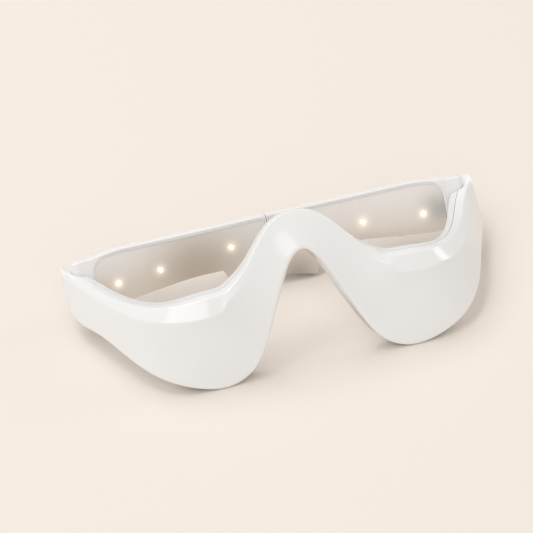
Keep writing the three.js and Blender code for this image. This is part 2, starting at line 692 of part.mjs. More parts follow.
const armShell = (side) => {
  const inside = cavityFar - CUT_MARGIN;
  const outside = ARM_BACK + CUT_MARGIN;
  const cuts = [
    armCorner(),
    armSlab(ARM_FACE - CUT_MARGIN, panelFar + FIT_GAP, FIT_GAP, CUT_MARGIN),
    armSlab(panelFar, cavityFar, -PANEL_SEAT, -PANEL_LOWER_SEAT),
    knuckleRoom([LOWER_KNUCKLE[0] - 3 * CUT_MARGIN, LOWER_KNUCKLE[1]]),
    knuckleRoom(UPPER_KNUCKLE),
    pinRoom(),
  ];
  if (side === 'right') {
    cuts.push(armPill(BUTTON_CLEARANCE, inside, outside));
    cuts.push(armDisc(INDICATOR_RADIUS + FIT_GAP, inside, outside, INDICATOR_X, ELECTRICS_Z));
    cuts.push(socketBlock(FIT_GAP, -CUT_MARGIN, SOCKET_SIZE[2] + FIT_GAP));
  }
  const body = armEnvelope().add(armBarrel());
  return onSide(cuts.reduce((solid, cut) => solid.subtract(cut), body), side);
};

const lightRowZ = (x) => LIGHT_ROW_Z - LIGHT_ROW_FALL * x;

const armPanel = (side) => {
  const slab = armSlab(panelNear, panelFar, 0);
  const radius = LIGHT_RADIUS + LIGHT_HOLE_CLEARANCE;
  const near = panelNear - CUT_MARGIN;
  const far = panelFar + CUT_MARGIN;
  const holes = LIGHTS[side].map((x) => armDisc(radius, near, far, x, lightRowZ(x)));
  return onSide(holes.reduce((solid, hole) => solid.subtract(hole), slab), side);
};

const lightLens = (side, x) => {
  const profile = [
    [0, panelNear - 0.45], [LIGHT_RADIUS * 0.75, panelNear - 0.3], [LIGHT_RADIUS, panelNear],
    [LIGHT_RADIUS, panelFar], [0, panelFar],
  ].map(([r, n]) => new THREE.Vector2(r, n));
  const geometry = new THREE.LatheGeometry(profile, 12);
  const center = armPoint(x, 0, lightRowZ(x));
  const matrix = new THREE.Matrix4().makeRotationZ(-armAngle(x)).setPosition(center);
  return onSide(placed(geometry, matrix), side);
};

const lightStrip = (side) => {
  const [first, , last] = LIGHTS[side];
  const strip = armLoft([first + 2.5, first - 3, ARM_BEND_END, last - 2.5], (x) => {
    const low = lightRowZ(x) - STRIP_HEIGHT / 2;
    const high = lightRowZ(x) + STRIP_HEIGHT / 2;
    return [[stripNear, low], [stripFar, low], [stripFar, high], [stripNear, high]];
  });
  return onSide(strip, side);
};

const behindStrip = stripFar + FIT_GAP;
const electricsBlock = (size, x, near) => armBlock(size, x, near + size[1] / 2, ELECTRICS_Z);
const battery = () => onSide(electricsBlock(BATTERY_SIZE, BATTERY_X, behindStrip), 'left');
const controlBoard = () => electricsBlock(BOARD_SIZE, BOARD_X, behindStrip);
const boardFar = behindStrip + BOARD_SIZE[1];
const switchNear = boardFar + FIT_GAP;
const buttonSwitch = () => electricsBlock(SWITCH_SIZE, BUTTON_X, switchNear);
const buttonNear = switchNear + SWITCH_SIZE[1] + BUTTON_TRAVEL + 0.2;
const powerButton = () => armPill(0, buttonNear, ARM_BACK + BUTTON_PROUD);
const indicatorFar = ARM_BACK - 0.1;
const indicatorLens = () => armDisc(INDICATOR_RADIUS, switchNear, indicatorFar, INDICATOR_X, ELECTRICS_Z, 12);

// The floor as the object sees it when it is worn: a block that the resting lean tips level
const restingHeight = (x, y, z) => z * Math.cos(RESTING_LEAN) - y * Math.sin(RESTING_LEAN);
const floorLevel = restingHeight(...VISOR_ROWS[7][0]) + FLOOR_FACET_DEPTH;
const floorMatrix = new THREE.Matrix4()
  .makeRotationX(RESTING_LEAN)
  .multiply(new THREE.Matrix4().makeTranslation(0, 0, floorLevel - FLOOR_BLOCK[2] / 2));
const floorBlock = placed(new THREE.BoxGeometry(...FLOOR_BLOCK), floorMatrix);
const aboveFloor = (solid) => solid.subtract(floorBlock);

// The assembly

const worn = new THREE.Group();

const addPiece = (name, solid, material) => {
  const mesh = new THREE.Mesh(geometryFrom(solid), material);
  mesh.name = name;
  worn.add(mesh);
};

addPiece('front_cover', aboveFloor(frontCover()), glossWhite);
addPiece('face_liner', aboveFloor(faceLiner()), linerGrey);
addPiece('front_flex', frontFlex(), flexAmber);
addPiece('battery', battery(), cellSilver);
addPiece('control_board', controlBoard(), boardGreen);
addPiece('button_switch', buttonSwitch(), darkPlastic);
addPiece('power_button', powerButton(), glossWhite);
addPiece('indicator_lens', indicatorLens(), warmLight);
addPiece('charging_socket', chargingSocket(), steel);

for (const side of ['left', 'right']) {
  const plate = plateLoft(0, PLATE_SINK, PLATE_SINK + PLATE_THICKNESS);
  addPiece(`${side}_contact_plate`, onSide(plate, side), steel);
  addPiece(`${side}_motor`, onSide(motor(), side), cellSilver);
  addPiece(`${side}_hinge_bracket`, onSide(hingeBracket(), side), steel);
  addPiece(`${side}_hinge_pin`, onSide(hingePin(), side), steel);
  SCREW_PLACES.forEach((along, i) => {
    addPiece(`${side}_bracket_screw_${i + 1}`, onSide(screwSolid(along), side), steel);
  });
  addPiece(`${side}_arm_shell`, aboveFloor(armShell(side)), glossWhite);
  addPiece(`${side}_arm_panel`, armPanel(side), panelSatin);
  addPiece(`${side}_light_strip`, lightStrip(side), flexAmber);
  LIGHTS[side].forEach((x, i) => addPiece(`${side}_light_${i + 1}`, lightLens(side, x), warmLight));
}

// Lean the object back and set its lowest faces on the table, centred over the origin
worn.rotation.x = -RESTING_LEAN;
worn.updateMatrixWorld(true);
const reach = new THREE.Box3().setFromObject(worn, true);
worn.position.set(0, -(reach.min.y + reach.max.y) / 2, -reach.min.z);

const massager = new THREE.Group();
massager.add(worn);

export default massager;
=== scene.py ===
# %% [markdown]
# An eye contour massager rests folded on a pale table: a glossy wrap-around visor in front, and
# behind it two folding arms whose inner panels glow with small warm lights.
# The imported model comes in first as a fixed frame, so every finer piece is built in its metres.

# %% Load the frame
from math import asin, cos, pi, radians, sin, sqrt, tan
from types import SimpleNamespace

import bmesh
import bpy
import numpy as np
from mathutils import Matrix, Vector


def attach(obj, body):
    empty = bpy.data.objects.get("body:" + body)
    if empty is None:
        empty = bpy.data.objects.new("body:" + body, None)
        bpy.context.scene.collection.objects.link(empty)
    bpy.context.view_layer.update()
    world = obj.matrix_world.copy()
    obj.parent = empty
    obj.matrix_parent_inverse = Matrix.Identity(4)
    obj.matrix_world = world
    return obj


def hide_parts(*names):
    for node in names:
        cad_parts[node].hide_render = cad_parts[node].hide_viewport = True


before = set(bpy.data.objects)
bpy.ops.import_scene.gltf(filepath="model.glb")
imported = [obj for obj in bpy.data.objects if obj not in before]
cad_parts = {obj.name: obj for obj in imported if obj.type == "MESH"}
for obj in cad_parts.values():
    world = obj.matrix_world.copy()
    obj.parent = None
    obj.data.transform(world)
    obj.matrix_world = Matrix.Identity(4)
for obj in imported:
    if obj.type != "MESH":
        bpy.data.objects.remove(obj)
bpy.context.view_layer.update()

# %% [markdown]
# The photograph looks down on the massager from its front left with a long lens, slightly rolled.
# The camera is placed by its three axes instead of by angles, so the roll is exact.

# %% Camera
CAMERA_PLACE = Vector((-0.6221, -2.399705, 1.748648))
CAMERA_RIGHT = Vector((0.9544173, -0.2912057, -0.0654745))
CAMERA_UP = Vector((0.2185531, 0.5324339, 0.8177706))
CAMERA_BACK = Vector((-0.2032786, -0.794804, 0.571808))
CAMERA_LENS = 595.917
SENSOR_WIDTH = 36.0
FARTHEST_SEEN = 20.0


def added(name, data):
    """A new object in the scene, with its mesh, camera or light."""
    thing = bpy.data.objects.new(name, data)
    bpy.context.scene.collection.objects.link(thing)
    return thing


long_lens = bpy.data.cameras.new("photograph_camera")
long_lens.lens = CAMERA_LENS
long_lens.sensor_width = SENSOR_WIDTH
long_lens.sensor_fit = "HORIZONTAL"
long_lens.clip_end = FARTHEST_SEEN
camera = added("photograph_camera", long_lens)
turn = Matrix((CAMERA_RIGHT, CAMERA_UP, CAMERA_BACK)).transposed()
camera.matrix_world = Matrix.Translation(CAMERA_PLACE) @ turn.to_4x4()
bpy.context.scene.camera = camera
print("camera lens", long_lens.lens)

# %% [markdown]
# The whole object is drawn as it is worn, in millimetres, and then leaned back onto the table.
# One function does that for every point, so all pieces share the same place.

# %% From the worn pose to the table
LEAN = radians(25.2)
TABLE_SHIFT = (-27.983015, 19.912727)
MM = 0.001


def rested(x, y, z):
    back = y * cos(LEAN) + z * sin(LEAN) + TABLE_SHIFT[0]
    high = -y * sin(LEAN) + z * cos(LEAN) + TABLE_SHIFT[1]
    return Vector((x * MM, back * MM, high * MM))


print("the worn origin rests at", rested(0, 0, 0))

# %% [markdown]
# The visor is one band that wraps round the face. Its lower and upper rims are smooth curves
# through a row of measured points, from the nose bridge out to the tip, mirrored to the other side.
# A natural cubic spline keeps the curvature continuous, which a gloss surface needs: a reflection
# shows every kink.

# %% Rims of the visor
# Each row in mm: a point of the lower rim, a point of the upper rim, thickness and crease depth.
VISOR_ROWS = np.array([
    [0.0, 0.7, 21.1, 0.0, 5.2, 34.5, 5.2, 0.0],
    [4.8, 0.8, 18.3, 7.2, 4.7, 32.8, 5.2, 0.0],
    [8.8, 0.9, 11.8, 13.7, 3.6, 27.2, 5.3, 0.0],
    [11.9, 1.2, 4.8, 19.2, 2.7, 20.3, 5.6, 0.1],
    [15.1, 1.6, -2.4, 23.9, 1.9, 15.9, 6.0, 0.3],
    [18.9, 2.3, -10.2, 28.0, 1.1, 13.2, 6.3, 0.9],
    [24.5, 3.3, -17.4, 32.1, 0.5, 12.2, 6.4, 1.6],
    [33.2, 3.6, -20.7, 37.6, 0.7, 11.9, 6.4, 2.2],
    [42.4, 3.5, -19.3, 43.6, 2.3, 11.4, 6.4, 2.3],
    [50.3, 4.6, -16.1, 49.6, 6.1, 11.3, 6.3, 2.2],
    [57.1, 8.5, -11.8, 55.1, 12.2, 11.8, 6.0, 2.0],
    [62.8, 15.8, -6.0, 60.0, 20.8, 13.3, 5.8, 1.7],
    [67.0, 24.9, -0.3, 64.0, 30.3, 15.5, 5.8, 1.2],
    [70.1, 33.2, 3.1, 68.1, 40.0, 18.7, 6.0, 0.7],
    [72.8, 40.8, 5.5, 71.9, 47.6, 21.9, 5.6, 0.3],
    [74.7, 46.2, 10.0, 74.5, 51.4, 25.4, 4.6, 0.1],
])
LAST_ROW = len(VISOR_ROWS) - 1
LOWEST_ROW = 8
ROW_SPACING = 8.0
ROW_PROBE = 0.01
LOWER_SLOPE = 0.5
FLANK_FLARE, FLANK_ROWS = 0.4, (5, 7)
MIRROR_SIGNS = np.array([-1, 1, 1, -1, 1, 1, 1, 1])
all_rows = np.vstack([VISOR_ROWS[:0:-1] * MIRROR_SIGNS, VISOR_ROWS])


def spline_bends(rows):
    """Second derivatives of the natural cubic spline through the rows."""
    count = len(rows)
    system = np.eye(count)
    right = np.zeros_like(rows)
    for i in range(1, count - 1):
        system[i, i - 1:i + 2] = (1, 4, 1)
        right[i] = 6 * (rows[i - 1] - 2 * rows[i] + rows[i + 1])
    return np.linalg.solve(system, right)


row_bends = spline_bends(all_rows)


def rim_values(row):
    place = min(max(row + LAST_ROW, 0.0), 2.0 * LAST_ROW)
    i = min(int(place), 2 * LAST_ROW - 1)
    t = place - i
    s = 1 - t
    bend = ((s ** 3 - s) * row_bends[i] + (t ** 3 - t) * row_bends[i + 1]) / 6
    return s * all_rows[i] + t * all_rows[i + 1] + bend


def smooth_step(x, low, high):
    t = min(max((x - low) / (high - low), 0.0), 1.0)
    return t * t * (3 - 2 * t)


def band_frame(row):
    """The band at one row: where it starts, its two directions and its measures."""
    here = rim_values(row)
    step = rim_values(row + ROW_PROBE) - rim_values(row - ROW_PROBE)
    low_way = Vector(step[0:3]).normalized()
    high_way = Vector(step[3:6]).normalized()
    low = Vector(here[0:3])
    up = Vector(here[3:6]) - low
    length = up.length
    up.normalize()
    along = (low_way + high_way).normalized()
    inward = up.cross(along).normalized()
    level = low_way.x ** 2
    flank = (1 - level) * (1 - smooth_step(abs(row), *FLANK_ROWS))
    return SimpleNamespace(
        row=row, low=low, up=up, inward=inward, length=length, thickness=here[6], crease=here[7],
        lower_slope=LOWER_SLOPE * level - FLANK_FLARE * flank)


print("lobe height (mm)", round(band_frame(LOWEST_ROW).length, 2))

# %% [markdown]
# A shell like this is lofted: a closed outline is drawn across the band at many rows, and each
# outline is joined to the next. Corners of an outline are rounded with short curves, because a
# moulded edge always has a radius and it is the radius that catches the light.

# %% Outlines and lofts
def rounded(before, corner, after, reach, steps=5):
    """A small fillet of the corner between two straight edges."""
    start = corner + (before - corner).normalized() * reach
    end = corner + (after - corner).normalized() * reach
    points = []
    for i in range(steps + 1):
        t = i / steps
        points.append((1 - t) ** 2 * start + 2 * t * (1 - t) * corner + t * t * end)
    return points


def rounded_outline(corners):
    """corners: (x, y, reach). A reach of 0 keeps the point sharp."""
    outline = []
    places = [Vector(corner[:2]) for corner in corners]
    for i, corner in enumerate(corners):
        around = (places[i - 1], places[i], places[(i + 1) % len(places)])
        outline += rounded(*around, corner[2]) if corner[2] else [places[i]]
    return outline


def closed_body(name, rings):
    """A closed mesh through rings with the same number of points."""
    count = len(rings[0])
    faces = []
    for row in range(len(rings) - 1):
        for k in range(count):
            a = row * count + k
            b = row * count + (k + 1) % count
            faces.append((a, b, b + count, a + count))
    faces.append(tuple(range(count)))
    faces.append(tuple(range((len(rings) - 1) * count, len(rings) * count)))
    mesh = bpy.data.meshes.new(name)
    mesh.from_pydata([point for ring in rings for point in ring], [], faces)
    work = bmesh.new()
    work.from_mesh(mesh)
    bmesh.ops.recalc_face_normals(work, faces=work.faces)
    work.to_mesh(mesh)
    work.free()
    return added(name, mesh)


def band_body(name, rows, outline):
    rings = []
    for row in rows:
        place = band_frame(row)
        ring = [place.low + place.up * s + place.inward * d for s, d in outline(place)]
        rings.append([rested(*point) for point in ring])
    return closed_body(name, rings)


def evenly(start, end, steps):
    return [start + (end - start) * i / steps for i in range(steps + 1)]


def side_to_side(last, steps):
    return evenly(-last, last, steps)


# %% [markdown]
# Pockets, holes and notches are cut with booleans, as a mould core would leave them. The result is
# kept as a plain mesh, and its sharp edges are marked so that the rest shades smooth.

# %% Cutting and smoothing
SHARP_ANGLE, THIN_SHARP_ANGLE = 32, 40
MERGE_DISTANCE = 1e-7


def set_from_modifiers(body):
    graph = bpy.context.evaluated_depsgraph_get()
    mesh = bpy.data.meshes.new_from_object(body.evaluated_get(graph))
    body.modifiers.clear()
    old = body.data
    body.data = mesh
    bpy.data.meshes.remove(old)


def shaped(body, tools, operation="DIFFERENCE"):
    for tool in tools:
        cut = body.modifiers.new(tool.name, "BOOLEAN")
        cut.operation = operation
        cut.solver = "MANIFOLD"
        cut.object = tool
    set_from_modifiers(body)
    for tool in tools:
        bpy.data.objects.remove(tool)


def smooth_shaded(body, sharp_angle=SHARP_ANGLE):
    mesh = body.data
    work = bmesh.new()
    work.from_mesh(mesh)
    bmesh.ops.remove_doubles(work, verts=work.verts, dist=MERGE_DISTANCE)
    for face in work.faces:
        face.smooth = True
    limit = radians(sharp_angle)
    for edge in work.edges:
        edge.smooth = not (edge.is_manifold and edge.calc_face_angle() > limit)
    work.to_mesh(mesh)
    work.free()
    print(body.name, "faces", len(mesh.polygons))
    return body


def above_table(body):
    """Nothing dips under the table: low points are pressed flat onto it."""
    for vertex in body.data.vertices:
        vertex.co.z = max(vertex.co.z, 0.0)


def four_corners(x, y, z):
    return [Vector(corner) for corner in ((-x, -y, z), (x, -y, z), (x, y, z), (-x, y, z))]


def box_body(name, size, center, turn=0.0):
    x, y, z = [s / 2 for s in size]
    spin = Matrix.Rotation(turn, 3, "Z")
    return closed_body(name, [
        [rested(*(spin @ corner + Vector(center))) for corner in four_corners(x, y, high)]
        for high in (-z, z)])


# %% [markdown]
# The cover is the glossy front of the visor. Its face sinks a little towards a soft crease, and
# from there a bright band tilts back up to the rim. The crease and the rim are small fillets, so
# the softbox draws a clean line along each.

# %% Outline of the cover
COVER_WALL = 1.6
PARTING_GAP = 0.2
COVER_RIM_SHARE, LEAST_LIP = 0.52, 0.4
LOWER_EDGE, LOWER_EDGE_BACK = 1.7, 0.3
BEVEL_WIDTH_SHARE, LEAST_BEVEL = 0.18, 2.6
BEVEL_START_ROWS, BEVEL_END_ROWS = (4.5, 6.5), (12.5, 14.5)
LEDGE_SLOPE = 0.25
TIP_ROUNDING, TIP_ROW_SHARES = 1.6, (1.0, 0.6, 0.33, 0.13, 0.0)
FILLET = 0.45
RIM_RISE, RIM_OVERSHOOT = 0.6, 0.02
FACE_STEPS, FACE_CURVE = 12, 1.6
EDGE_STEPS, FILLET_STEPS = 9, 6
# The last row on each side, and the steps from one side to the other.
COVER_SPAN, COVER_POCKET_SPAN = (14.7, 220), (14.0, 112)
# The pocket follows the crease: shares of the height, and of the crease's depth there.
POCKET_POINTS = ((0.3, 0.5), (0.58, 0.85))
POCKET_CORNER = 0.6


def cover_rim(place):
    return max(place.thickness * COVER_RIM_SHARE, COVER_WALL + LEAST_LIP)


def undercut(place, depth):
    return place.lower_slope * depth


def bevel_width(place):
    out = abs(place.row)
    begin = smooth_step(out, *BEVEL_START_ROWS)
    share = BEVEL_WIDTH_SHARE * begin * (1 - smooth_step(out, *BEVEL_END_ROWS))
    return max(place.length * share, LEAST_BEVEL)


def cover_outline(place):
    """Up the face from the lower edge, sinking towards the crease, then over the bevel to the ledge."""
    length = place.length
    rim = cover_rim(place)
    start = LOWER_EDGE
    crease_s = length - bevel_width(place)
    crease = Vector((crease_s, -place.crease))
    slope = place.crease / (length - RIM_RISE - crease_s)
    rim_corner = Vector((length + RIM_OVERSHOOT, slope * RIM_RISE))
    ledge_end = Vector((length + LEDGE_SLOPE * rim, rim))
    low_corner = Vector((undercut(place, LOWER_EDGE_BACK), 0))
    outline = [Vector((undercut(place, rim), rim))]
    outline += rounded(outline[0], low_corner, Vector((length, 0)), start, EDGE_STEPS)
    for i in range(1, FACE_STEPS):
        share = i / FACE_STEPS
        depth = -place.crease * (1 - (1 - share) ** FACE_CURVE)
        outline.append(Vector((start + (crease_s - start) * share, depth)))
    outline += rounded(outline[-1], crease, rim_corner, FILLET, FILLET_STEPS)
    outline += rounded(crease, rim_corner, ledge_end, FILLET, FILLET_STEPS)
    outline.append(ledge_end)
    return outline


def arc_inset(distance, radius):
    """How far a rounded corner draws in at a distance from its end."""
    distance = max(distance, 0.0)
    if distance >= radius:
        return 0.0
    return radius - sqrt(radius ** 2 - (radius - distance) ** 2)


def cover_outline_rounded(place):
    """The outline draws in near the two ends of the visor, which rounds them."""
    inset = arc_inset((LAST_ROW - abs(place.row)) * ROW_SPACING, TIP_ROUNDING)
    rim = cover_rim(place)
    return [(s + inset * (1 - 2 * (s / place.length)), d + inset * (1 - d / rim))
            for s, d in cover_outline(place)]


def cover_pocket(place):
    rim = cover_rim(place)
    lip = COVER_WALL + POCKET_CORNER
    length = place.length
    crease_s = length - bevel_width(place)
    return [
        (undercut(place, rim) + COVER_WALL, rim + 1),
        (lip, COVER_WALL),
        *[(length * share, COVER_WALL - depth * place.crease) for share, depth in POCKET_POINTS],
        (crease_s, COVER_WALL - place.crease),
        (length - lip, COVER_WALL),
        (length + LEDGE_SLOPE * rim - COVER_WALL, rim + 1),
    ]


tip_rows = [LAST_ROW - share * TIP_ROUNDING / ROW_SPACING for share in TIP_ROW_SHARES]
cover_rows = [-row for row in reversed(tip_rows)] + side_to_side(*COVER_SPAN) + tip_rows
cover = band_body("gloss_cover", cover_rows, cover_outline_rounded)
pocket = band_body("cover_pocket_cut", side_to_side(*COVER_POCKET_SPAN), cover_pocket)
print("rows of the cover", len(cover_rows))

# %% [markdown]
# The hinge hardware sits inside the tips of the visor, so the cover keeps a room for it. The
# cutters repeat the bracket's own boxes, a little larger all round.

# %% Room for the hinges
SIDES = ("left", "right")
PIVOT = (68.6, 50.2)
ARM_SPLAY = radians(8)
BARREL_RADIUS = 2.3
SWING_CLEARANCE = 0.35
SWING_REACH = BARREL_RADIUS + SWING_CLEARANCE
LOWER_KNUCKLE, UPPER_KNUCKLE = (8.2, 11.1), (15.5, 17.9)
KNUCKLE_SPAN = (LOWER_KNUCKLE[0], UPPER_KNUCKLE[1])
BRACKET_THICKNESS = 1.2
BRACKET_WEB_Z = (8.4, 13.0)
SPINE_DEPTH, SPINE_OFFSET = 1.6, 0.2
WEB_LENGTH, WEB_HEIGHT = 11.0, 4.6
WEB_ANGLE = radians(17.5)
WEB_BACK = (PIVOT[0] + 0.7, PIVOT[1] - 3.8)
FIT_GAP = 0.3
SWING_Z, SWING_SIDES = (5, 30), 96
OPEN_ARM_DEPTH, OPEN_ARM_HEIGHT, OPEN_ARM_Z = 8, 25, 17.5


def full_turn(steps):
    return [2 * pi * k / steps for k in range(steps)]


def quarter_turn(steps):
    return [pi / 2 * i / steps for i in range(steps + 1)]


def arc_points(radius, turns, shift=0):
    return [(shift + radius * cos(a), radius * sin(a)) for a in turns]


def post_body(name, levels, sides):
    """A round body about the hinge's pivot, through levels of radius and height."""
    return closed_body(name, [
        [rested(PIVOT[0] + r * cos(a), PIVOT[1] + r * sin(a), z) for a in full_turn(sides)]
        for r, z in levels])


def web_box(name, size, across=0):
    """A box along the bracket's web, moved across it."""
    along = WEB_LENGTH / 2
    x = WEB_BACK[0] - along * sin(WEB_ANGLE) + across * cos(WEB_ANGLE)
    y = WEB_BACK[1] - along * cos(WEB_ANGLE) - across * sin(WEB_ANGLE)
    return box_body(name, size, (x, y, sum(BRACKET_WEB_Z) / 2), -WEB_ANGLE)


def on_side(body, side):
    """On the left, x turns over, and so does the winding of the faces."""
    if side == "left":
        body.data.transform(Matrix.Scale(-1, 4, (1, 0, 0)))
        body.data.flip_normals()
    return body


def hinge_room(side):
    """Room for the bracket's spine and web, and for the arm as it turns and when it is open."""
    low, high = KNUCKLE_SPAN
    spine = [s + 2 * FIT_GAP for s in (BRACKET_THICKNESS, SPINE_DEPTH, high - low)]
    web = [s + 2 * FIT_GAP for s in (BRACKET_THICKNESS, WEB_LENGTH, WEB_HEIGHT)]
    arm = (2 * SWING_REACH, OPEN_ARM_DEPTH, OPEN_ARM_HEIGHT)
    back = OPEN_ARM_DEPTH / 2
    behind = (PIVOT[0] + back * sin(ARM_SPLAY), PIVOT[1] + back * cos(ARM_SPLAY), OPEN_ARM_Z)
    cuts = [
        box_body("spine_room", spine, (WEB_BACK[0], WEB_BACK[1] + SPINE_OFFSET, (low + high) / 2)),
        web_box("web_room", web),
        post_body("swing_room", [(SWING_REACH, z) for z in SWING_Z], SWING_SIDES),
        box_body("open_arm_room", arm, behind, -ARM_SPLAY),
    ]
    return [on_side(cut, side) for cut in cuts]


shaped(cover, [pocket] + hinge_room("left") + hinge_room("right"))
above_table(smooth_shaded(cover))
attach(cover, "front")
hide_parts("front_cover")

# %% [markdown]
# The liner closes the visor towards the face. It meets the cover on the ledge along a hairline
# parting, and it has a softer, fuller radius, because it is the side that touches the skin.

# %% Face liner
LINER_WALL, LEAST_LINER = 1.3, 0.8
LINER_SPAN, LINER_POCKET_SPAN = (14.5, 232), (13.5, 108)
LINER_POCKET_CORNER, LINER_POCKET_SHARES = 0.3, (0.35, 0.65)
LINER_EDGE, LINER_EDGE_SHARE = 1.0, 0.6
SWELL, SWELL_STEPS = 0.25, 8


def liner_depths(place):
    start = cover_rim(place) + PARTING_GAP
    end = max(place.thickness, cover_rim(place) + FIT_GAP + LEAST_LINER)
    return start, end


def liner_outline(place):
    start, end = liner_depths(place)
    length = place.length
    first = Vector((undercut(place, start), start))
    low_corner = Vector((undercut(place, end), end))
    high_corner = Vector((length + LEDGE_SLOPE * end, end))
    last = Vector((length + LEDGE_SLOPE * start, start))
    reach = min(LINER_EDGE, LINER_EDGE_SHARE * (end - start))
    outline = [first] + rounded(first, low_corner, high_corner, reach, FILLET_STEPS)
    for i in range(1, SWELL_STEPS):
        share = i / SWELL_STEPS
        swell = SWELL * (1 - (2 * share - 1) ** 2)
        outline.append(low_corner.lerp(high_corner, share) + Vector((0, swell)))
    outline += rounded(low_corner, high_corner, last, reach, FILLET_STEPS)
    outline.append(last)
    return outline


def liner_pocket(place):
    start, end = liner_depths(place)
    length = place.length
    inner = end - LINER_WALL
    return [
        (undercut(place, start) + LINER_WALL, start - 1),
        (undercut(place, end) + LINER_WALL + LINER_POCKET_CORNER, inner),
        *[(length * share, inner) for share in LINER_POCKET_SHARES],
        (length + LEDGE_SLOPE * end - LINER_WALL - LINER_POCKET_CORNER, inner),
        (length + LEDGE_SLOPE * start - LINER_WALL, start - 1),
    ]


PLATE_ROWS, PLATE_STEPS = (5.6, 9.4), 36
PLATE_SHARES = (0.38, 0.72)
PLATE_SINK = -0.3
PLATE_THICKNESS, PLATE_EDGE = 0.9, 0.35
PLATE_END_WIDTH, PLATE_ROUNDNESS = 0.35, 4
SEAT_GAP, SEAT_TOP = 0.2, 2.0
NOTCH_WALL, NOTCH_HEIGHT = 0.4, 5.2


def plate_outline(place, grow, near, far, edge):
    start, end = PLATE_ROWS
    reach = grow / ROW_SPACING
    middle = place.length * sum(PLATE_SHARES) / 2
    half = place.length * (PLATE_SHARES[1] - PLATE_SHARES[0]) / 2
    share = 2 * (place.row - start + reach) / (end - start + 2 * reach) - 1
    swell = sqrt(max(0.0, 1 - share ** PLATE_ROUNDNESS))
    wide = PLATE_END_WIDTH + (1 - PLATE_END_WIDTH) * swell
    low, high = middle - half * wide - grow, middle + half * wide + grow
    near, far = place.thickness + near, place.thickness + far
    edge = min(edge, (high - low) / 3)
    return rounded_outline([(low, near, 0), (low, far, edge), (high, far, edge), (high, near, 0)])


def plate_body(name, side, grow, near, far, edge):
    """The plate, or the plate grown on all sides. Its rows are crowded towards its two ends."""
    start = PLATE_ROWS[0] - grow / ROW_SPACING
    span = PLATE_ROWS[1] - PLATE_ROWS[0] + 2 * (grow / ROW_SPACING)
    rows = []
    for i in range(PLATE_STEPS + 1):
        rows.append(start + span * (1 - cos(pi * i / PLATE_STEPS)) / 2)
    plate = band_body(name, rows, lambda place: plate_outline(place, grow, near, far, edge))
    return on_side(plate, side)


def web_notch():
    near = -BRACKET_THICKNESS / 2 - FIT_GAP - NOTCH_WALL - FIT_GAP
    width = BRACKET_THICKNESS / 2 + FIT_GAP - near
    return web_box("web_notch", (width, WEB_LENGTH + 2 * FIT_GAP, NOTCH_HEIGHT), near + width / 2)


def folded_arm_room():
    half = OPEN_ARM_DEPTH / 2
    size = (OPEN_ARM_DEPTH, OPEN_ARM_DEPTH, OPEN_ARM_HEIGHT)
    center = (PIVOT[0] - half, PIVOT[1] - SWING_REACH + half, OPEN_ARM_Z)
    return box_body("folded_arm_room", size, center)


liner = band_body("soft_liner", side_to_side(*LINER_SPAN), liner_outline)
liner_cuts = [band_body("liner_pocket_cut", side_to_side(*LINER_POCKET_SPAN), liner_pocket)]
for side in SIDES:
    liner_cuts.append(plate_body("plate_seat_cut", side, SEAT_GAP, PLATE_SINK - FIT_GAP, SEAT_TOP, 0))
    liner_cuts += [on_side(web_notch(), side), on_side(folded_arm_room(), side)]
    liner_cuts += hinge_room(side)
shaped(liner, liner_cuts)
above_table(smooth_shaded(liner))
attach(liner, "front")
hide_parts("face_liner")

# %% [markdown]
# A thin metal plate is let into the liner under each eye, with a narrow gap all round it.

# %% Contact plates
contact_plates = []
for side in SIDES:
    back = PLATE_SINK + PLATE_THICKNESS
    plate = plate_body(side + "_skin_plate", side, 0, PLATE_SINK, back, PLATE_EDGE)
    smooth_shaded(plate, THIN_SHARP_ANGLE)
    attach(plate, "front")
    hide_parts(side + "_contact_plate")
    contact_plates.append(plate)

# %% [markdown]
# Each arm follows one line in plan: straight from the hinge, a gentle bend, then straight along
# the back. The right arm is drawn and the left one is its mirror image.

# %% The line of an arm
ARM_BEND_START, ARM_BEND_END = 61.0, 48.0
BEND_RADIUS = (ARM_BEND_START - ARM_BEND_END) / sin(ARM_SPLAY)
BEND_START_Y = PIVOT[1] + (PIVOT[0] - ARM_BEND_START) * tan(ARM_SPLAY)
STRAIGHT_Y = BEND_START_Y + BEND_RADIUS * (1 - cos(ARM_SPLAY))
# Heights in mm, and between which x they change: the arm's top, its underside, and the hook at
# its inner end, which reaches further down.
ARM_HIGH, ARM_HIGH_DROP, ARM_HIGH_X = 27.1, 1.5, (52, 68)
ARM_LOW, ARM_LOW_DROP, ARM_LOW_X = 11.1, 3.3, (24, 62)
HOOK_LOW, HOOK_SLOPE, HOOK_X = 5.8, 0.214, (14, 18)


def arm_angle(x):
    if x >= ARM_BEND_START:
        return ARM_SPLAY
    return asin(max(x - ARM_BEND_END, 0.0) / BEND_RADIUS)


def arm_place(x, n, z):
    """A point at x along the arm, n behind its middle line and z high, in the worn pose."""
    angle = arm_angle(x)
    if x >= ARM_BEND_START:
        line = PIVOT[1] + (PIVOT[0] - x) * tan(ARM_SPLAY)
    else:
        line = STRAIGHT_Y - BEND_RADIUS * (1 - cos(angle))
    return (x + n * sin(angle), line + n * cos(angle), z)


def arm_top(x):
    return ARM_HIGH - ARM_HIGH_DROP * smooth_step(x, *ARM_HIGH_X)


def arm_bottom(x):
    hook = HOOK_LOW - HOOK_SLOPE * x
    arm = ARM_LOW - ARM_LOW_DROP * smooth_step(x, *ARM_LOW_X)
    return hook + (arm - hook) * smooth_step(x, *HOOK_X)


def arm_body(name, stations, outline):
    rings = []
    for x in stations:
        rings.append([rested(*arm_place(x, n, z)) for n, z in outline(x)])
    return closed_body(name, rings)


print("arms meet at y (mm)", round(STRAIGHT_Y, 2))

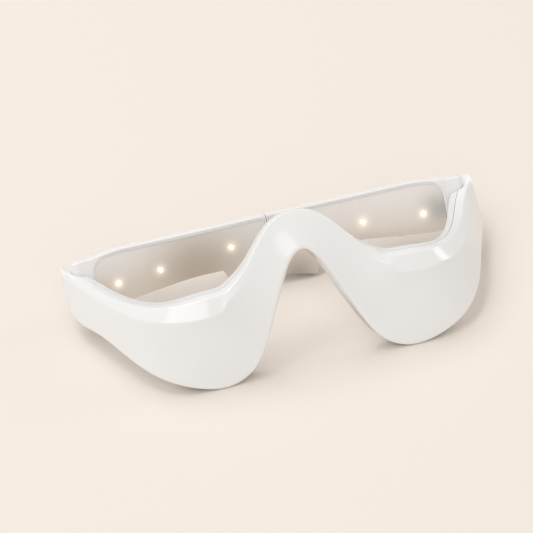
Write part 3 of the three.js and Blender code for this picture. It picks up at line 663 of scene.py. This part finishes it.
# %% [markdown]
# The arm shell is a long moulded tray. Its back edge is well rounded, its top is a narrow flat
# rim, and its front is recessed for the panel that carries the lights.

# %% Arm shells
ARM_FACE, ARM_BACK = -2.6, 3.4
ARM_TIP_X, ARM_TIP_RADIUS = 0.15, 0.3
ARM_SLIM_X = (62.4, 65.4)
ARM_STEP, SEAT_STEP = 0.6, 1.0
LOWER_FACE_EDGE, UPPER_FACE_EDGE, LOWER_BACK_SHARE = 0.5, 0.8, 0.8
BACK_ROUNDING, HINGE_ROUNDING = 2.0, 0.8
PANEL_RIM, PANEL_RECESS, PANEL_DEPTH = 1.7, 0.5, 1.0
PANEL_HINGE_X, PANEL_TIP_X = 63.2, 0.75
PANEL_CORNER, PANEL_TIP_CORNER = 4.5, 0.6
PANEL_LOWER_LAP, PANEL_LOWER_SEAT, PANEL_SEAT = 0.1, 1.4, 0.8
COVE_WIDTH, COVE_STEPS, COVE_STATIONS = 0.85, 6, 56
RECESS_GAP, RECESS_TIP_GAP = 0.05, 0.2
ARM_CORNER_RADIUS, ARM_CORNER_STEPS, CUT_MARGIN = 1.6, 16, 2
CORNER_CUT_REACH = 8
BARREL_SIDES, BARREL_STEPS = 64, 6
PIN_BORE, PIN_SIDES = 0.9, 32
PANEL_NEAR = ARM_FACE + PANEL_RECESS
PANEL_FAR = PANEL_NEAR + PANEL_DEPTH
CAVITY_FAR = 2.1


def shell_outline(x):
    """The arm's cross-section, which slims down to the barrel's width at the hinge."""
    inset = arc_inset(x - ARM_TIP_X, ARM_TIP_RADIUS)
    slim = smooth_step(x, *ARM_SLIM_X)
    face = ARM_FACE + (-BARREL_RADIUS - ARM_FACE) * slim
    back = ARM_BACK + (BARREL_RADIUS - ARM_BACK) * slim
    round_back = BACK_ROUNDING + (HINGE_ROUNDING - BACK_ROUNDING) * slim
    high = arm_top(x) - inset
    low = arm_bottom(x) + inset
    return rounded_outline([
        (face, low, LOWER_FACE_EDGE), (back, low, LOWER_BACK_SHARE * round_back),
        (back, high, round_back), (face, high, UPPER_FACE_EDGE)])


def end_stations(start, end, start_round, end_round, step):
    """Stations along x, crowded where the two ends are rounded."""
    shares = (0.0, 0.02, 0.06, 0.12, 0.2, 0.3, 0.42, 0.56, 0.72, 0.88, 1.0)
    first = [start - share * start_round for share in shares] if start_round else [start]
    last = [end + share * end_round for share in reversed(shares)] if end_round else [end]
    steps = round((first[-1] - last[0]) / step)
    return first + evenly(first[-1], last[0], steps)[1:-1] + last


def panel_edges(x, grow):
    inset = max(arc_inset(x - PANEL_TIP_X + grow, PANEL_TIP_CORNER + grow),
                arc_inset(PANEL_HINGE_X - x + grow, PANEL_CORNER + grow))
    return arm_bottom(x) + PANEL_LOWER_LAP - grow, arm_top(x) - PANEL_RIM - inset + grow


def panel_stations(grow, step=None):
    """Stations along the panel, grown by some mm. Without a step, their count is always the same."""
    start, end = PANEL_HINGE_X + grow, PANEL_TIP_X - min(grow, RECESS_TIP_GAP)
    step = step or (start - end - PANEL_CORNER - PANEL_TIP_CORNER) / COVE_STATIONS
    return end_stations(start, end, PANEL_CORNER, PANEL_TIP_CORNER, step)


def seat_outline(x):
    """The hollow behind the panel, smaller than the panel by the width of its seat."""
    low, high = panel_edges(x, -PANEL_SEAT)
    low = low - PANEL_SEAT + PANEL_LOWER_SEAT
    return [(PANEL_FAR, low), (CAVITY_FAR, low), (CAVITY_FAR, high), (PANEL_FAR, high)]


def recess_cut():
    """The recess for the panel. Above it opens out in a soft cove, and below it has no wall."""
    levels = [(PANEL_FAR + FIT_GAP, RECESS_GAP), (PANEL_NEAR, RECESS_GAP)]
    for turn in quarter_turn(COVE_STEPS)[1:]:
        rise = PANEL_RECESS * (1 - cos(turn))
        levels.append((PANEL_NEAR - rise, RECESS_GAP + COVE_WIDTH * sin(turn)))
    levels.append((ARM_FACE - 1, RECESS_GAP + COVE_WIDTH))
    rings = []
    for n, grow in levels:
        stations = panel_stations(grow)
        upper = [arm_place(x, n, panel_edges(x, grow)[1]) for x in stations]
        lower = [arm_place(x, n, arm_bottom(x) - 1) for x in reversed(stations)]
        rings.append([rested(*point) for point in upper + lower])
    return closed_body("panel_recess_cut", rings)


def beside(x, along, n, z):
    """A point some way along the arm from x, in the flat frame the arm has there."""
    angle = arm_angle(x)
    base = arm_place(x, n, z)
    return rested(base[0] + along * cos(angle), base[1] - along * sin(angle), z)


def hole_cut(name, x, z, outline, near, far):
    """A straight cut across the arm from near to far."""
    return closed_body(name, [[beside(x, a, n, z + b) for a, b in outline] for n in (near, far)])


def corner_cut():
    """What is cut away at the top outer corner of the hinge end to round it."""
    radius = ARM_CORNER_RADIUS
    far = radius + CUT_MARGIN
    arc = arc_points(radius, reversed(quarter_turn(ARM_CORNER_STEPS)))
    outline = [(far, far), (0, far), *arc, (far, 0)]
    x, z = PIVOT[0] + BARREL_RADIUS - radius, arm_top(PIVOT[0]) - radius
    return hole_cut("arm_corner_cut", x, z, outline, -CORNER_CUT_REACH, CORNER_CUT_REACH)


def barrel_body():
    """The round end of the arm, with its upper edge rounded off."""
    edge = HINGE_ROUNDING
    low, high = arm_bottom(PIVOT[0]), arm_top(PIVOT[0])
    levels = [(BARREL_RADIUS, low)]
    for turn in quarter_turn(BARREL_STEPS):
        levels.append((BARREL_RADIUS - edge * (1 - cos(turn)), high - edge * (1 - sin(turn))))
    return post_body("hinge_barrel", levels, BARREL_SIDES)


def pill_points(width, height):
    """A slot with round ends, larger by the fit gap, as points round its middle."""
    radius, reach = height / 2 + FIT_GAP, (width - height) / 2
    points = []
    for start, shift in ((-pi / 2, reach), (pi / 2, -reach)):
        turns = [start + pi * i / PILL_STEPS for i in range(PILL_STEPS + 1)]
        points += arc_points(radius, turns, shift)
    return points


BUTTON_X, BUTTON_SIZE, ELECTRICS_Z = 38.0, (9.0, 4.2), 19.5
INDICATOR_X, INDICATOR_RADIUS = 28.0, 0.8
SOCKET_X, SOCKET_N, SOCKET_SIZE, SOCKET_DEPTH = 50.0, 0.8, (9.0, 3.2), 4.4
HOLE_SIDES, PILL_STEPS = 40, 12
KNUCKLE_GAP, KNUCKLE_OPENING, PIN_SPARE = 0.4, 3, 0.6


def disc_cut(radius, near, far, x, z):
    circle = arc_points(radius, full_turn(HOLE_SIDES))
    return hole_cut("round_hole_cut", x, z, circle, near, far)


def socket_cut():
    points, base = pill_points(*SOCKET_SIZE), arm_bottom(SOCKET_X)
    return closed_body("socket_hole_cut", [
        [beside(SOCKET_X, a, SOCKET_N + n, base + z) for a, n in points]
        for z in (-1, SOCKET_DEPTH + FIT_GAP)])


def hinge_cuts():
    """Room for the two knuckles, of which the lower is open below, and the bore for the pin."""
    low, high = KNUCKLE_SPAN
    cuts = []
    for bottom, top in ((low - KNUCKLE_OPENING, LOWER_KNUCKLE[1]), UPPER_KNUCKLE):
        levels = [(SWING_REACH, bottom - KNUCKLE_GAP), (SWING_REACH, top + KNUCKLE_GAP)]
        cuts.append(post_body("knuckle_room", levels, BARREL_SIDES))
    bore = [(PIN_BORE, low - CUT_MARGIN), (PIN_BORE, high + PIN_SPARE)]
    return cuts + [post_body("pin_bore", bore, PIN_SIDES)]


def electric_cuts():
    """The holes in the right arm for the button, the indicator and the charging socket."""
    near, pill = CAVITY_FAR - 1, pill_points(*BUTTON_SIZE)
    return [
        hole_cut("button_hole_cut", BUTTON_X, ELECTRICS_Z, pill, near, ARM_BACK + CUT_MARGIN),
        disc_cut(INDICATOR_RADIUS + FIT_GAP, near, ARM_BACK + 1, INDICATOR_X, ELECTRICS_Z),
        socket_cut(),
    ]


arm_shells = {}
arm_stations = end_stations(PIVOT[0], ARM_TIP_X, 0, ARM_TIP_RADIUS, ARM_STEP)
for side in SIDES:
    shell = arm_body(side + "_moulded_arm", arm_stations, shell_outline)
    shaped(shell, [barrel_body()], "UNION")
    seat = arm_body("panel_seat_cut", panel_stations(-PANEL_SEAT, SEAT_STEP), seat_outline)
    cuts = [recess_cut(), seat, corner_cut()] + hinge_cuts()
    shaped(shell, cuts + electric_cuts() if side == "right" else cuts)
    on_side(shell, side)
    above_table(smooth_shaded(shell))
    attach(shell, side + "_arm")
    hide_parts(side + "_arm_shell")
    arm_shells[side] = shell

# %% [markdown]
# The panel is a thin satin lid with rounded corners. It is lofted along the arm from outlines whose
# front edges are rounded, and the light holes are cut through it.

# %% Light panels
LIGHTS = {"left": (55.3, 39.8, 13.9), "right": (55.3, 33.5, 11.5)}
LIGHT_RADIUS, LENS_GAP = 1.1, 0.12
LIGHT_HEIGHT, LIGHT_SLOPE = 19.7, 0.084
PANEL_EDGE, PANEL_STEP = 0.15, 0.7


def light_z(x):
    return LIGHT_HEIGHT - LIGHT_SLOPE * x


def panel_outline(x):
    low, high = panel_edges(x, 0.0)
    end_gap = min(x - PANEL_TIP_X, PANEL_HINGE_X - x)
    near = PANEL_NEAR + arc_inset(end_gap, PANEL_EDGE)
    edge = min(PANEL_EDGE, (high - low) / 3)
    return rounded_outline([
        (PANEL_FAR, low, 0), (near, low, edge), (near, high, edge), (PANEL_FAR, high, 0)])


def light_holes(side):
    radius = LIGHT_RADIUS + LENS_GAP
    return [disc_cut(radius, PANEL_NEAR - 1, PANEL_FAR + 1, x, light_z(x)) for x in LIGHTS[side]]


panels = {}
for side in SIDES:
    panel = arm_body(side + "_light_panel", panel_stations(0.0, PANEL_STEP), panel_outline)
    shaped(panel, light_holes(side))
    on_side(panel, side)
    smooth_shaded(panel, THIN_SHARP_ANGLE)
    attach(panel, side + "_arm")
    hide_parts(side + "_arm_panel")
    panels[side] = panel

# %% [markdown]
# Lenses and finishes are built of nodes. These helpers make one node at a time and feed its
# inputs, so each tree further down reads as a short list of steps.

# %% Helpers for node trees
def feed(tree, node, inputs):
    """Give each input its value, or link it to the output, or the first output of the node, given."""
    for name, value in inputs.items():
        if isinstance(value, bpy.types.Node):
            value = value.outputs[0]
        if isinstance(value, bpy.types.NodeSocket):
            tree.links.new(value, node.inputs[name])
        else:
            node.inputs[name].default_value = value


def add_node(tree, kind, inputs=None, **settings):
    node = tree.nodes.new(kind)
    for name, value in settings.items():
        setattr(node, name, value)
    feed(tree, node, inputs or {})
    return node


def group_socket(tree, name, way, kind="NodeSocketFloat", value=None):
    socket = tree.interface.new_socket(name, in_out=way, socket_type=kind)
    if value is not None:
        socket.default_value = value
    return socket


def shader_group(name, inputs, outputs):
    """A shader node group. Each input has its usual value, or None where it is a vector."""
    tree = bpy.data.node_groups.new(name, "ShaderNodeTree")
    for label, value in inputs.items():
        kind = "NodeSocketVector" if value is None else "NodeSocketFloat"
        group_socket(tree, label, "INPUT", kind, value)
    for label in outputs:
        group_socket(tree, label, "OUTPUT")
    return tree, tree.nodes.new("NodeGroupInput").outputs


def math_node(tree, operation, *values):
    return add_node(tree, "ShaderNodeMath", dict(enumerate(values)), operation=operation)


def smooth_range(tree, value, low, high):
    """0 at low and 1 at high, with a smooth rise between them."""
    span = {"Value": value, "From Min": low, "From Max": high}
    return add_node(tree, "ShaderNodeMapRange", span, interpolation_type="SMOOTHSTEP")


def mixed(tree, factor, low, high):
    """Two colours mixed by a factor. Each is three numbers, or the output that gives it."""
    feeds = {"Factor": factor}
    for name, color in (("A", low), ("B", high)):
        feeds[name] = (*color, 1.0) if isinstance(color, tuple) else color
    return add_node(tree, "ShaderNodeMix", feeds, data_type="RGBA").outputs["Result"]


def object_place(tree):
    return add_node(tree, "ShaderNodeTexCoord").outputs["Object"]


# %% [markdown]
# Three small lenses shine from each panel. They are all alike, so Geometry Nodes place one domed
# lens on each point of a short line of points, and the result becomes one plain mesh per arm.

# %% Light lenses
LENS_SINK = 0.25
LENS_BULGE = 0.6
LENS_SEGMENTS, LENS_RINGS = 40, 24


def lens_tree():
    tree = bpy.data.node_groups.new("lens_row", "GeometryNodeTree")
    kinds = {"Places": "Geometry", "Radius": "Float", "Bulge": "Float", "Finish": "Material"}
    names = {}
    for label, kind in kinds.items():
        names[label] = group_socket(tree, label, "INPUT", "NodeSocket" + kind).identifier
    group_socket(tree, "Lenses", "OUTPUT", "NodeSocketGeometry")
    given = tree.nodes.new("NodeGroupInput").outputs
    ball = add_node(tree, "GeometryNodeMeshUVSphere", {
        "Segments": LENS_SEGMENTS, "Rings": LENS_RINGS, "Radius": given["Radius"]})
    flat = add_node(tree, "ShaderNodeCombineXYZ", {"X": 1.0, "Y": 1.0, "Z": given["Bulge"]})
    squash = add_node(tree, "GeometryNodeTransform", {"Geometry": ball, "Scale": flat})
    facing = add_node(
        tree, "GeometryNodeInputNamedAttribute", {"Name": "facing"}, data_type="FLOAT_VECTOR")
    align = add_node(tree, "FunctionNodeAlignEulerToVector", {"Vector": facing}, axis="Z")
    spread = add_node(tree, "GeometryNodeInstanceOnPoints", {
        "Points": given["Places"], "Instance": squash, "Rotation": align})
    real = add_node(tree, "GeometryNodeRealizeInstances", {"Geometry": spread})
    smooth = add_node(tree, "GeometryNodeSetShadeSmooth", {"Geometry": real})
    painted = add_node(tree, "GeometryNodeSetMaterial", {
        "Geometry": smooth, "Material": given["Finish"]})
    add_node(tree, "NodeGroupOutput", {"Lenses": painted})
    return tree, names


def panel_place(side, x, z, behind=0.0):
    """A point on the front of an arm's panel, or some mm behind it, as it lies on the table."""
    place = rested(*arm_place(x, PANEL_NEAR + behind, z))
    return Vector((-place.x, place.y, place.z)) if side == "left" else place


def light_points(name, side):
    """A row of bare points, one for each light, that know which way the panel faces there."""
    places = [panel_place(side, x, light_z(x), LENS_SINK) for x in LIGHTS[side]]
    ahead = [panel_place(side, x, light_z(x), -1.0) for x in LIGHTS[side]]
    mesh = bpy.data.meshes.new(name)
    mesh.from_pydata(places, [], [])
    facing = mesh.attributes.new("facing", "FLOAT_VECTOR", "POINT")
    for i, (place, front) in enumerate(zip(places, ahead)):
        facing.data[i].vector = (front - place).normalized()
    return added(name, mesh)


def lens_row(side, finish):
    row = light_points(side + "_light_lenses", side)
    tree, names = lens_tree()
    maker = row.modifiers.new("lenses", "NODES")
    maker.node_group = tree
    maker[names["Radius"]] = LIGHT_RADIUS * MM
    maker[names["Bulge"]] = LENS_BULGE
    maker[names["Finish"]] = finish
    set_from_modifiers(row)
    print(row.name, "faces", len(row.data.polygons))
    return row


# %% [markdown]
# Moulded plastic is never perfectly even: a gloss skin has a faint orange peel and its shine
# drifts a little. One node group gives both as a height and a shine value, and every plastic
# finish takes them at its own scale.

# %% Shared skin of moulded plastic
DRIFT_SCALE = 35.0
PEEL_STRENGTH = 0.25
COAT_ROUGHNESS = 0.12


def moulded_skin_group():
    usual = {"Scale": 400.0, "Shine Low": 0.1, "Shine High": 0.2}
    tree, given = shader_group("moulded_skin", usual, ("Height", "Roughness", "Drift"))
    where = object_place(tree)
    peel = add_node(tree, "ShaderNodeTexNoise", {
        "Vector": where, "Scale": given["Scale"], "Detail": 2.0})
    drift = add_node(tree, "ShaderNodeTexNoise", {
        "Vector": where, "Scale": DRIFT_SCALE, "Detail": 3.0})
    shine = add_node(tree, "ShaderNodeMapRange", {
        "Value": drift, "To Min": given["Shine Low"], "To Max": given["Shine High"]})
    add_node(tree, "NodeGroupOutput", {"Height": peel, "Roughness": shine, "Drift": drift})
    return tree


moulded_skin = moulded_skin_group()


def new_finish(name):
    material = bpy.data.materials.new(name)
    material.use_nodes = True
    return material, material.node_tree, material.node_tree.nodes["Principled BSDF"]


def plastic_finish(name, colors, peel_scale, peel_depth, shine, coat=0.0):
    """Moulded plastic: two close colours that drift together, a fine peel and an uneven shine."""
    material, tree, shader = new_finish(name)
    look = {"Scale": peel_scale, "Shine Low": shine[0], "Shine High": shine[1]}
    skin = add_node(tree, "ShaderNodeGroup", look, node_tree=moulded_skin).outputs
    if colors:
        light, dark = colors
        feed(tree, shader, {"Base Color": mixed(tree, skin["Drift"], dark, light)})
    bump = add_node(tree, "ShaderNodeBump", {
        "Strength": PEEL_STRENGTH, "Distance": peel_depth, "Height": skin["Height"]})
    feed(tree, shader, {
        "Roughness": skin["Roughness"], "Normal": bump,
        "Coat Weight": coat, "Coat Roughness": COAT_ROUGHNESS})
    return material


# Each row: the light and the dark colour, the scale and the depth (m) of the peel, the lowest and
# the highest roughness, and the weight of the clear coat.
PLASTICS = {
    "gloss_white": (((0.88, 0.895, 0.915), (0.86, 0.875, 0.895)), 900, 0.00002, (0.10, 0.16), 0.5),
    # The arms' white is the gloss white made a little lighter and cooler, as painted light.
    "lit_arm_white": (((0.90, 0.905, 0.925), (0.88, 0.885, 0.905)), 900, 0.00002, (0.10, 0.16), 0.5),
    "liner_grey": (((0.81, 0.81, 0.815), (0.79, 0.79, 0.795)), 1400, 0.00003, (0.22, 0.32)),
    "button_white": (((0.76, 0.75, 0.735), (0.74, 0.73, 0.71)), 1500, 0.00003, (0.22, 0.30)),
    "dark_plastic": (((0.045, 0.045, 0.05), (0.03, 0.03, 0.035)), 1500, 0.00004, (0.40, 0.55)),
    "board_green": (((0.03, 0.16, 0.08), (0.02, 0.11, 0.055)), 2500, 0.00002, (0.35, 0.50)),
    "cell_silver": (((0.36, 0.38, 0.40), (0.31, 0.33, 0.35)), 300, 0.00006, (0.30, 0.45)),
    "flex_amber": (((0.50, 0.20, 0.035), (0.40, 0.15, 0.025)), 600, 0.00002, (0.30, 0.42)),
    "warm_light": (((0.86, 0.80, 0.72), (0.82, 0.76, 0.68)), 1500, 0.00002, (0.20, 0.28)),
}
finishes = {name: plastic_finish(name, *row) for name, row in PLASTICS.items()}
print("plastic finishes", len(finishes))

# %% [markdown]
# The walls round the nose look down at the table, and their colour is darkened with painted shade.
# A second group picks them out by the way they face, and the cover and the liner both use it.

# %% Painted shade round the nose
SHADE_SPAN = (0.0, 0.2)
SHADE_SIDE_SPAN = (0.052, 0.044)
LEVEL_WEIGHT = -0.6


def under_shade_group():
    """Picks out the walls round the nose that look down, to be darkened with painted shade, but not the
    back or the hinge ends.
    """
    tree = shader_group("under_shade", {}, ("Shade",))[0]
    where = add_node(tree, "ShaderNodeTexCoord").outputs
    spot = add_node(tree, "ShaderNodeSeparateXYZ", {"Vector": where["Object"]}).outputs
    way = add_node(tree, "ShaderNodeSeparateXYZ", {"Vector": where["Normal"]}).outputs
    by_nose = smooth_range(tree, math_node(tree, "ABSOLUTE", spot["X"]), *SHADE_SIDE_SPAN)
    level = math_node(tree, "ABSOLUTE", way["Y"])
    lower = math_node(tree, "MULTIPLY", way["Z"], -1.0)
    down = math_node(tree, "MULTIPLY_ADD", level, LEVEL_WEIGHT, lower)
    shade = math_node(tree, "MULTIPLY", smooth_range(tree, down, *SHADE_SPAN), by_nose)
    add_node(tree, "NodeGroupOutput", {"Shade": shade})
    return tree


under_shade = under_shade_group()


def shaded_below(material, color):
    """Paints shade on the faces that look down: from the base colour the finish has to the given darker
    one.
    """
    tree = material.node_tree
    base = tree.nodes["Principled BSDF"].inputs["Base Color"]
    above = base.links[0].from_socket
    shade = add_node(tree, "ShaderNodeGroup", node_tree=under_shade)
    tree.links.new(mixed(tree, shade, above, color), base)


# Painted shade: the down-facing walls round the nose turn a darker grey on the cover and the liner.
shaded_below(finishes["gloss_white"], (0.50, 0.495, 0.49))
shaded_below(finishes["liner_grey"], (0.47, 0.46, 0.45))
print("shaded round the nose: cover and liner")

# %% [markdown]
# The metal parts are brushed: fine scratches that all run one way. A noise stretched along one
# axis gives them, at its own stretch for the plates, the brackets and the socket.

# %% Brushed metal
SCRATCH_STRENGTH = 0.3
SCRATCH_DEPTH = 0.00002
SCRATCH_SHADE = 0.85


def metal_finish(name, color, shine, stretch):
    material, tree, shader = new_finish(name)
    along = add_node(tree, "ShaderNodeMapping", {"Vector": object_place(tree), "Scale": stretch})
    scratches = add_node(tree, "ShaderNodeTexNoise", {
        "Vector": along, "Scale": 1.0, "Detail": 4.0})
    rough = add_node(tree, "ShaderNodeMapRange", {
        "Value": scratches, "To Min": shine[0], "To Max": shine[1]})
    bump = add_node(tree, "ShaderNodeBump", {
        "Strength": SCRATCH_STRENGTH, "Distance": SCRATCH_DEPTH, "Height": scratches})
    feed(tree, shader, {
        "Base Color": mixed(tree, scratches, tuple(c * SCRATCH_SHADE for c in color), color),
        "Roughness": rough, "Metallic": 1.0, "Normal": bump})
    return material


# Each row: the colour, the lowest and the highest roughness, and the stretch of the scratches.
METALS = {
    "plate_steel": ((0.62, 0.62, 0.63), (0.18, 0.34), (300, 6000, 6000)),
    "bracket_steel": ((0.55, 0.56, 0.58), (0.25, 0.42), (4000, 400, 4000)),
    "socket_steel": ((0.66, 0.67, 0.68), (0.15, 0.30), (4000, 4000, 400)),
}
for name, row in METALS.items():
    finishes[name] = metal_finish(name, *row)
print("metal finishes", len(METALS))

# %% [markdown]
# The lenses glow warm white, and round each light a soft halo of painted glow lies on the satin panel.
# The halo is worked out from the distance to each light, so it stays on the panel from any side.
# The panels are greyer low down and darkest in a few soft patches, both painted shade; the patches use
# the same group.

# %% Glow of the lights, and painted shade on the panels
WARM_WHITE = (1.0, 0.86, 0.66)
# Each level of glow: how far it reaches (m) and its strength.
# On the panel this glow is painted light round each lens; the lenses reuse its levels.
PANEL_GLOW = ((0.0012, 0.4), (0.0022, 0.22))
LENS_GLOW = ((0.0008, 1.6), *PANEL_GLOW)
# Rows like those of the plastics. The panels have their colours, with painted shade, from the tints and
# patches below.
PANEL_SKIN = (None, 1200, 0.00003, (0.36, 0.44))
LENS_SKIN = (((0.64, 0.58, 0.52), (0.60, 0.55, 0.49)), 1500, 0.00002, (0.30, 0.38))
# The panel's own warm grey is painted darker and warmer low down as painted shade; the colour changes
# from the first to the second over this span of heights (mm).
PANEL_SHADE_SPAN = (13.0, 25.5)
PANEL_COLOR_AND_SHADE = {
    "left": ((0.78, 0.715, 0.65), (0.87, 0.85, 0.835)),
    "right": ((0.87, 0.81, 0.755), (0.91, 0.885, 0.87)),
}
# Each patch of painted shade: its x and z along the arm (mm), how far it reaches (m), and its colour.
PANEL_PAINTED_SHADES = {
    "left": [(27.0, 14.0, 0.015, (0.535, 0.462, 0.393))],
    "right": [(61.0, 16.0, 0.0055, (0.56, 0.545, 0.535)), (7.0, 3.0, 0.008, (0.43, 0.385, 0.33))],
}
# More painted shade, along the lower edge of the right panel.
LOWER_EDGE_X = range(18, 63, 4)
LOWER_EDGE_PAINTED_SHADE = (0.0029, (0.74, 0.68, 0.625))
PANEL_PAINTED_SHADES["right"] += [(x, arm_bottom(x), *LOWER_EDGE_PAINTED_SHADE) for x in LOWER_EDGE_X]


def light_halo_group():
    tree, given = shader_group("light_halo", {"Light": None, "Reach": 0.004}, ("Glow",))
    gap = add_node(tree, "ShaderNodeVectorMath", {
        0: object_place(tree), 1: given["Light"]}, operation="DISTANCE").outputs["Value"]
    share = math_node(tree, "DIVIDE", gap, given["Reach"])
    square = math_node(tree, "MULTIPLY", share, share)
    fade = math_node(tree, "MULTIPLY", square, -1.0)
    add_node(tree, "NodeGroupOutput", {"Glow": math_node(tree, "EXPONENT", fade)})
    return tree


def height_fade_group():
    tree, given = shader_group("height_fade", {"Low": 0.0, "High": 0.01}, ("Fade",))
    up = (0.0, sin(LEAN), cos(LEAN))
    height = add_node(tree, "ShaderNodeVectorMath", {
        0: object_place(tree), 1: up}, operation="DOT_PRODUCT").outputs["Value"]
    add_node(tree, "NodeGroupOutput", {"Fade": smooth_range(tree, height, given["Low"], given["High"])})
    return tree


light_halo = light_halo_group()
height_fade = height_fade_group()


def nearness(tree, place, reach):
    """1 at a place on the object, fading out over the reach (m)."""
    return add_node(tree, "ShaderNodeGroup", {"Light": place, "Reach": reach}, node_tree=light_halo)


def height_tint(tree, low_color, high_color):
    """Mix two colours by the height on the worn object."""
    foot = rested(0, 0, 0)
    base = foot.y * sin(LEAN) + foot.z * cos(LEAN)
    low, high = [base + height * MM for height in PANEL_SHADE_SPAN]
    fade = add_node(tree, "ShaderNodeGroup", {"Low": low, "High": high}, node_tree=height_fade)
    return mixed(tree, fade, low_color, high_color)


def add_glow(material, side, levels):
    """Warm emission that fades with the distance from each of the arm's lights: the lens's own light,
    and a painted glow on the panel.
    """
    tree = material.node_tree
    total = 0.0
    for x in LIGHTS[side]:
        for reach, strength in levels:
            near = nearness(tree, panel_place(side, x, light_z(x)), reach)
            total = math_node(tree, "MULTIPLY_ADD", near, strength, total)
    warm = add_node(tree, "ShaderNodeVectorMath", {0: WARM_WHITE, "Scale": total}, operation="SCALE")
    feed(tree, tree.nodes["Principled BSDF"], {
        "Emission Color": warm, "Emission Strength": 1.0})


def panel_finish(side):
    material = plastic_finish(side + "_panel_satin", *PANEL_SKIN)
    tree = material.node_tree
    # The panel's warm grey, with painted shade low down.
    color = height_tint(tree, *PANEL_COLOR_AND_SHADE[side])
    # Each patch darkens the colour with painted shade.
    for x, z, reach, dark in PANEL_PAINTED_SHADES[side]:
        color = mixed(tree, nearness(tree, panel_place(side, x, z), reach), color, dark)
    feed(tree, tree.nodes["Principled BSDF"], {"Base Color": color})
    add_glow(material, side, PANEL_GLOW)
    return material


def lens_finish(side):
    """A milky lens: brightest over the light behind it, and the panel's own warm grey at its edge."""
    material = plastic_finish(side + "_warm_lens", *LENS_SKIN)
    add_glow(material, side, LENS_GLOW)
    return material


lenses = {side: lens_row(side, lens_finish(side)) for side in SIDES}
for side, row in lenses.items():
    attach(row, side + "_arm")
    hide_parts(*[f"{side}_light_{i}" for i in (1, 2, 3)])

# %% [markdown]
# Every piece now gets its finish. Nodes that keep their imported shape, such as the hinge hardware
# and the electrics inside, are painted by assigning to their own material slot.

# %% Paint the pieces
def paint(piece, material):
    piece.data.materials.clear()
    piece.data.materials.append(material)


paint(cover, finishes["gloss_white"])
paint(liner, finishes["liner_grey"])
for plate in contact_plates:
    paint(plate, finishes["plate_steel"])

NODE_FINISHES = {
    "front_flex": "flex_amber", "battery": "cell_silver", "control_board": "board_green",
    "button_switch": "dark_plastic", "power_button": "button_white", "indicator_lens": "warm_light",
    "charging_socket": "socket_steel",
}
PAIR_FINISHES = {
    "motor": "cell_silver", "hinge_bracket": "bracket_steel", "hinge_pin": "bracket_steel",
    "bracket_screw_1": "bracket_steel", "bracket_screw_2": "bracket_steel", "light_strip": "flex_amber",
}
for side in SIDES:
    paint(arm_shells[side], finishes["lit_arm_white"])
    paint(panels[side], panel_finish(side))
    NODE_FINISHES.update({f"{side}_{part}": finish for part, finish in PAIR_FINISHES.items()})
for name, finish in NODE_FINISHES.items():
    paint(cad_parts[name], finishes[finish])
print("painted nodes", len(NODE_FINISHES))

# %% [markdown]
# The table is one plain cream plane, wide enough to have no edge in the picture. Soft light comes
# from softboxes behind, overhead and at the front left, with a narrow strip on the right. A wide
# fill from the front lifts the shadows without showing as a reflection, and warm pale studio air
# does the rest.

# %% Table and light
TABLE_REACH = 6.0
TABLE_SINK = 0.00005
TABLE_COLOR = (0.858, 0.797, 0.743, 1.0)
TABLE_ROUGHNESS = 0.7
AIR_COLOR = (1.0, 0.95, 0.875, 1.0)
AIR_STRENGTH = 0.52
COOL_WHITE = (0.985, 0.995, 1.0)
WHITE = (1.0, 1.0, 1.0)
# Each row: the lamp's place, its width and height (m), its power (W) and its colour.
LAMPS = {
    "back_softbox": ((-0.25, 0.75, 1.35), (1.4, 0.9), 7.0, COOL_WHITE),
    "overhead_softbox": ((-0.4, 0.12, 1.55), (0.5, 0.5), 2.8, COOL_WHITE),
    "front_softbox": ((-0.85, -0.9, 1.6), (2.6, 1.0), 9.0, WHITE),
    "right_strip": ((1.45, 0.1, 0.7), (0.35, 0.8), 1.8, WHITE),
    "front_fill": ((-0.5, -3.3, 1.9), (3.2, 2.2), 20.0, WHITE),
}


mesh = bpy.data.meshes.new("table_top")
mesh.from_pydata(four_corners(TABLE_REACH, TABLE_REACH, -TABLE_SINK), [], [(0, 1, 2, 3)])
material, tree, shader = new_finish("table_cream")
feed(tree, shader, {"Base Color": TABLE_COLOR, "Roughness": TABLE_ROUGHNESS})
mesh.materials.append(material)
table = added("table_top", mesh)


def soft_lamp(name, place, size, power, color):
    """A soft oval lamp that is aimed at the object."""
    data = bpy.data.lights.new(name, "AREA")
    data.shape = "ELLIPSE"
    data.size, data.size_y = size
    data.energy = power
    data.color = color
    lamp = added(name, data)
    lamp.location = place
    lamp.rotation_euler = (-Vector(place)).to_track_quat("-Z", "Y").to_euler()
    return lamp


lamps = {name: soft_lamp(name, *row) for name, row in LAMPS.items()}
lamps["front_fill"].visible_glossy = False

world = bpy.data.worlds.new("studio_air")
bpy.context.scene.world = world
world.use_nodes = True
air = world.node_tree.nodes["Background"]
feed(world.node_tree, air, {"Color": AIR_COLOR, "Strength": AIR_STRENGTH})
bpy.context.scene.view_settings.view_transform = "Standard"
print("lamps", len(lamps))
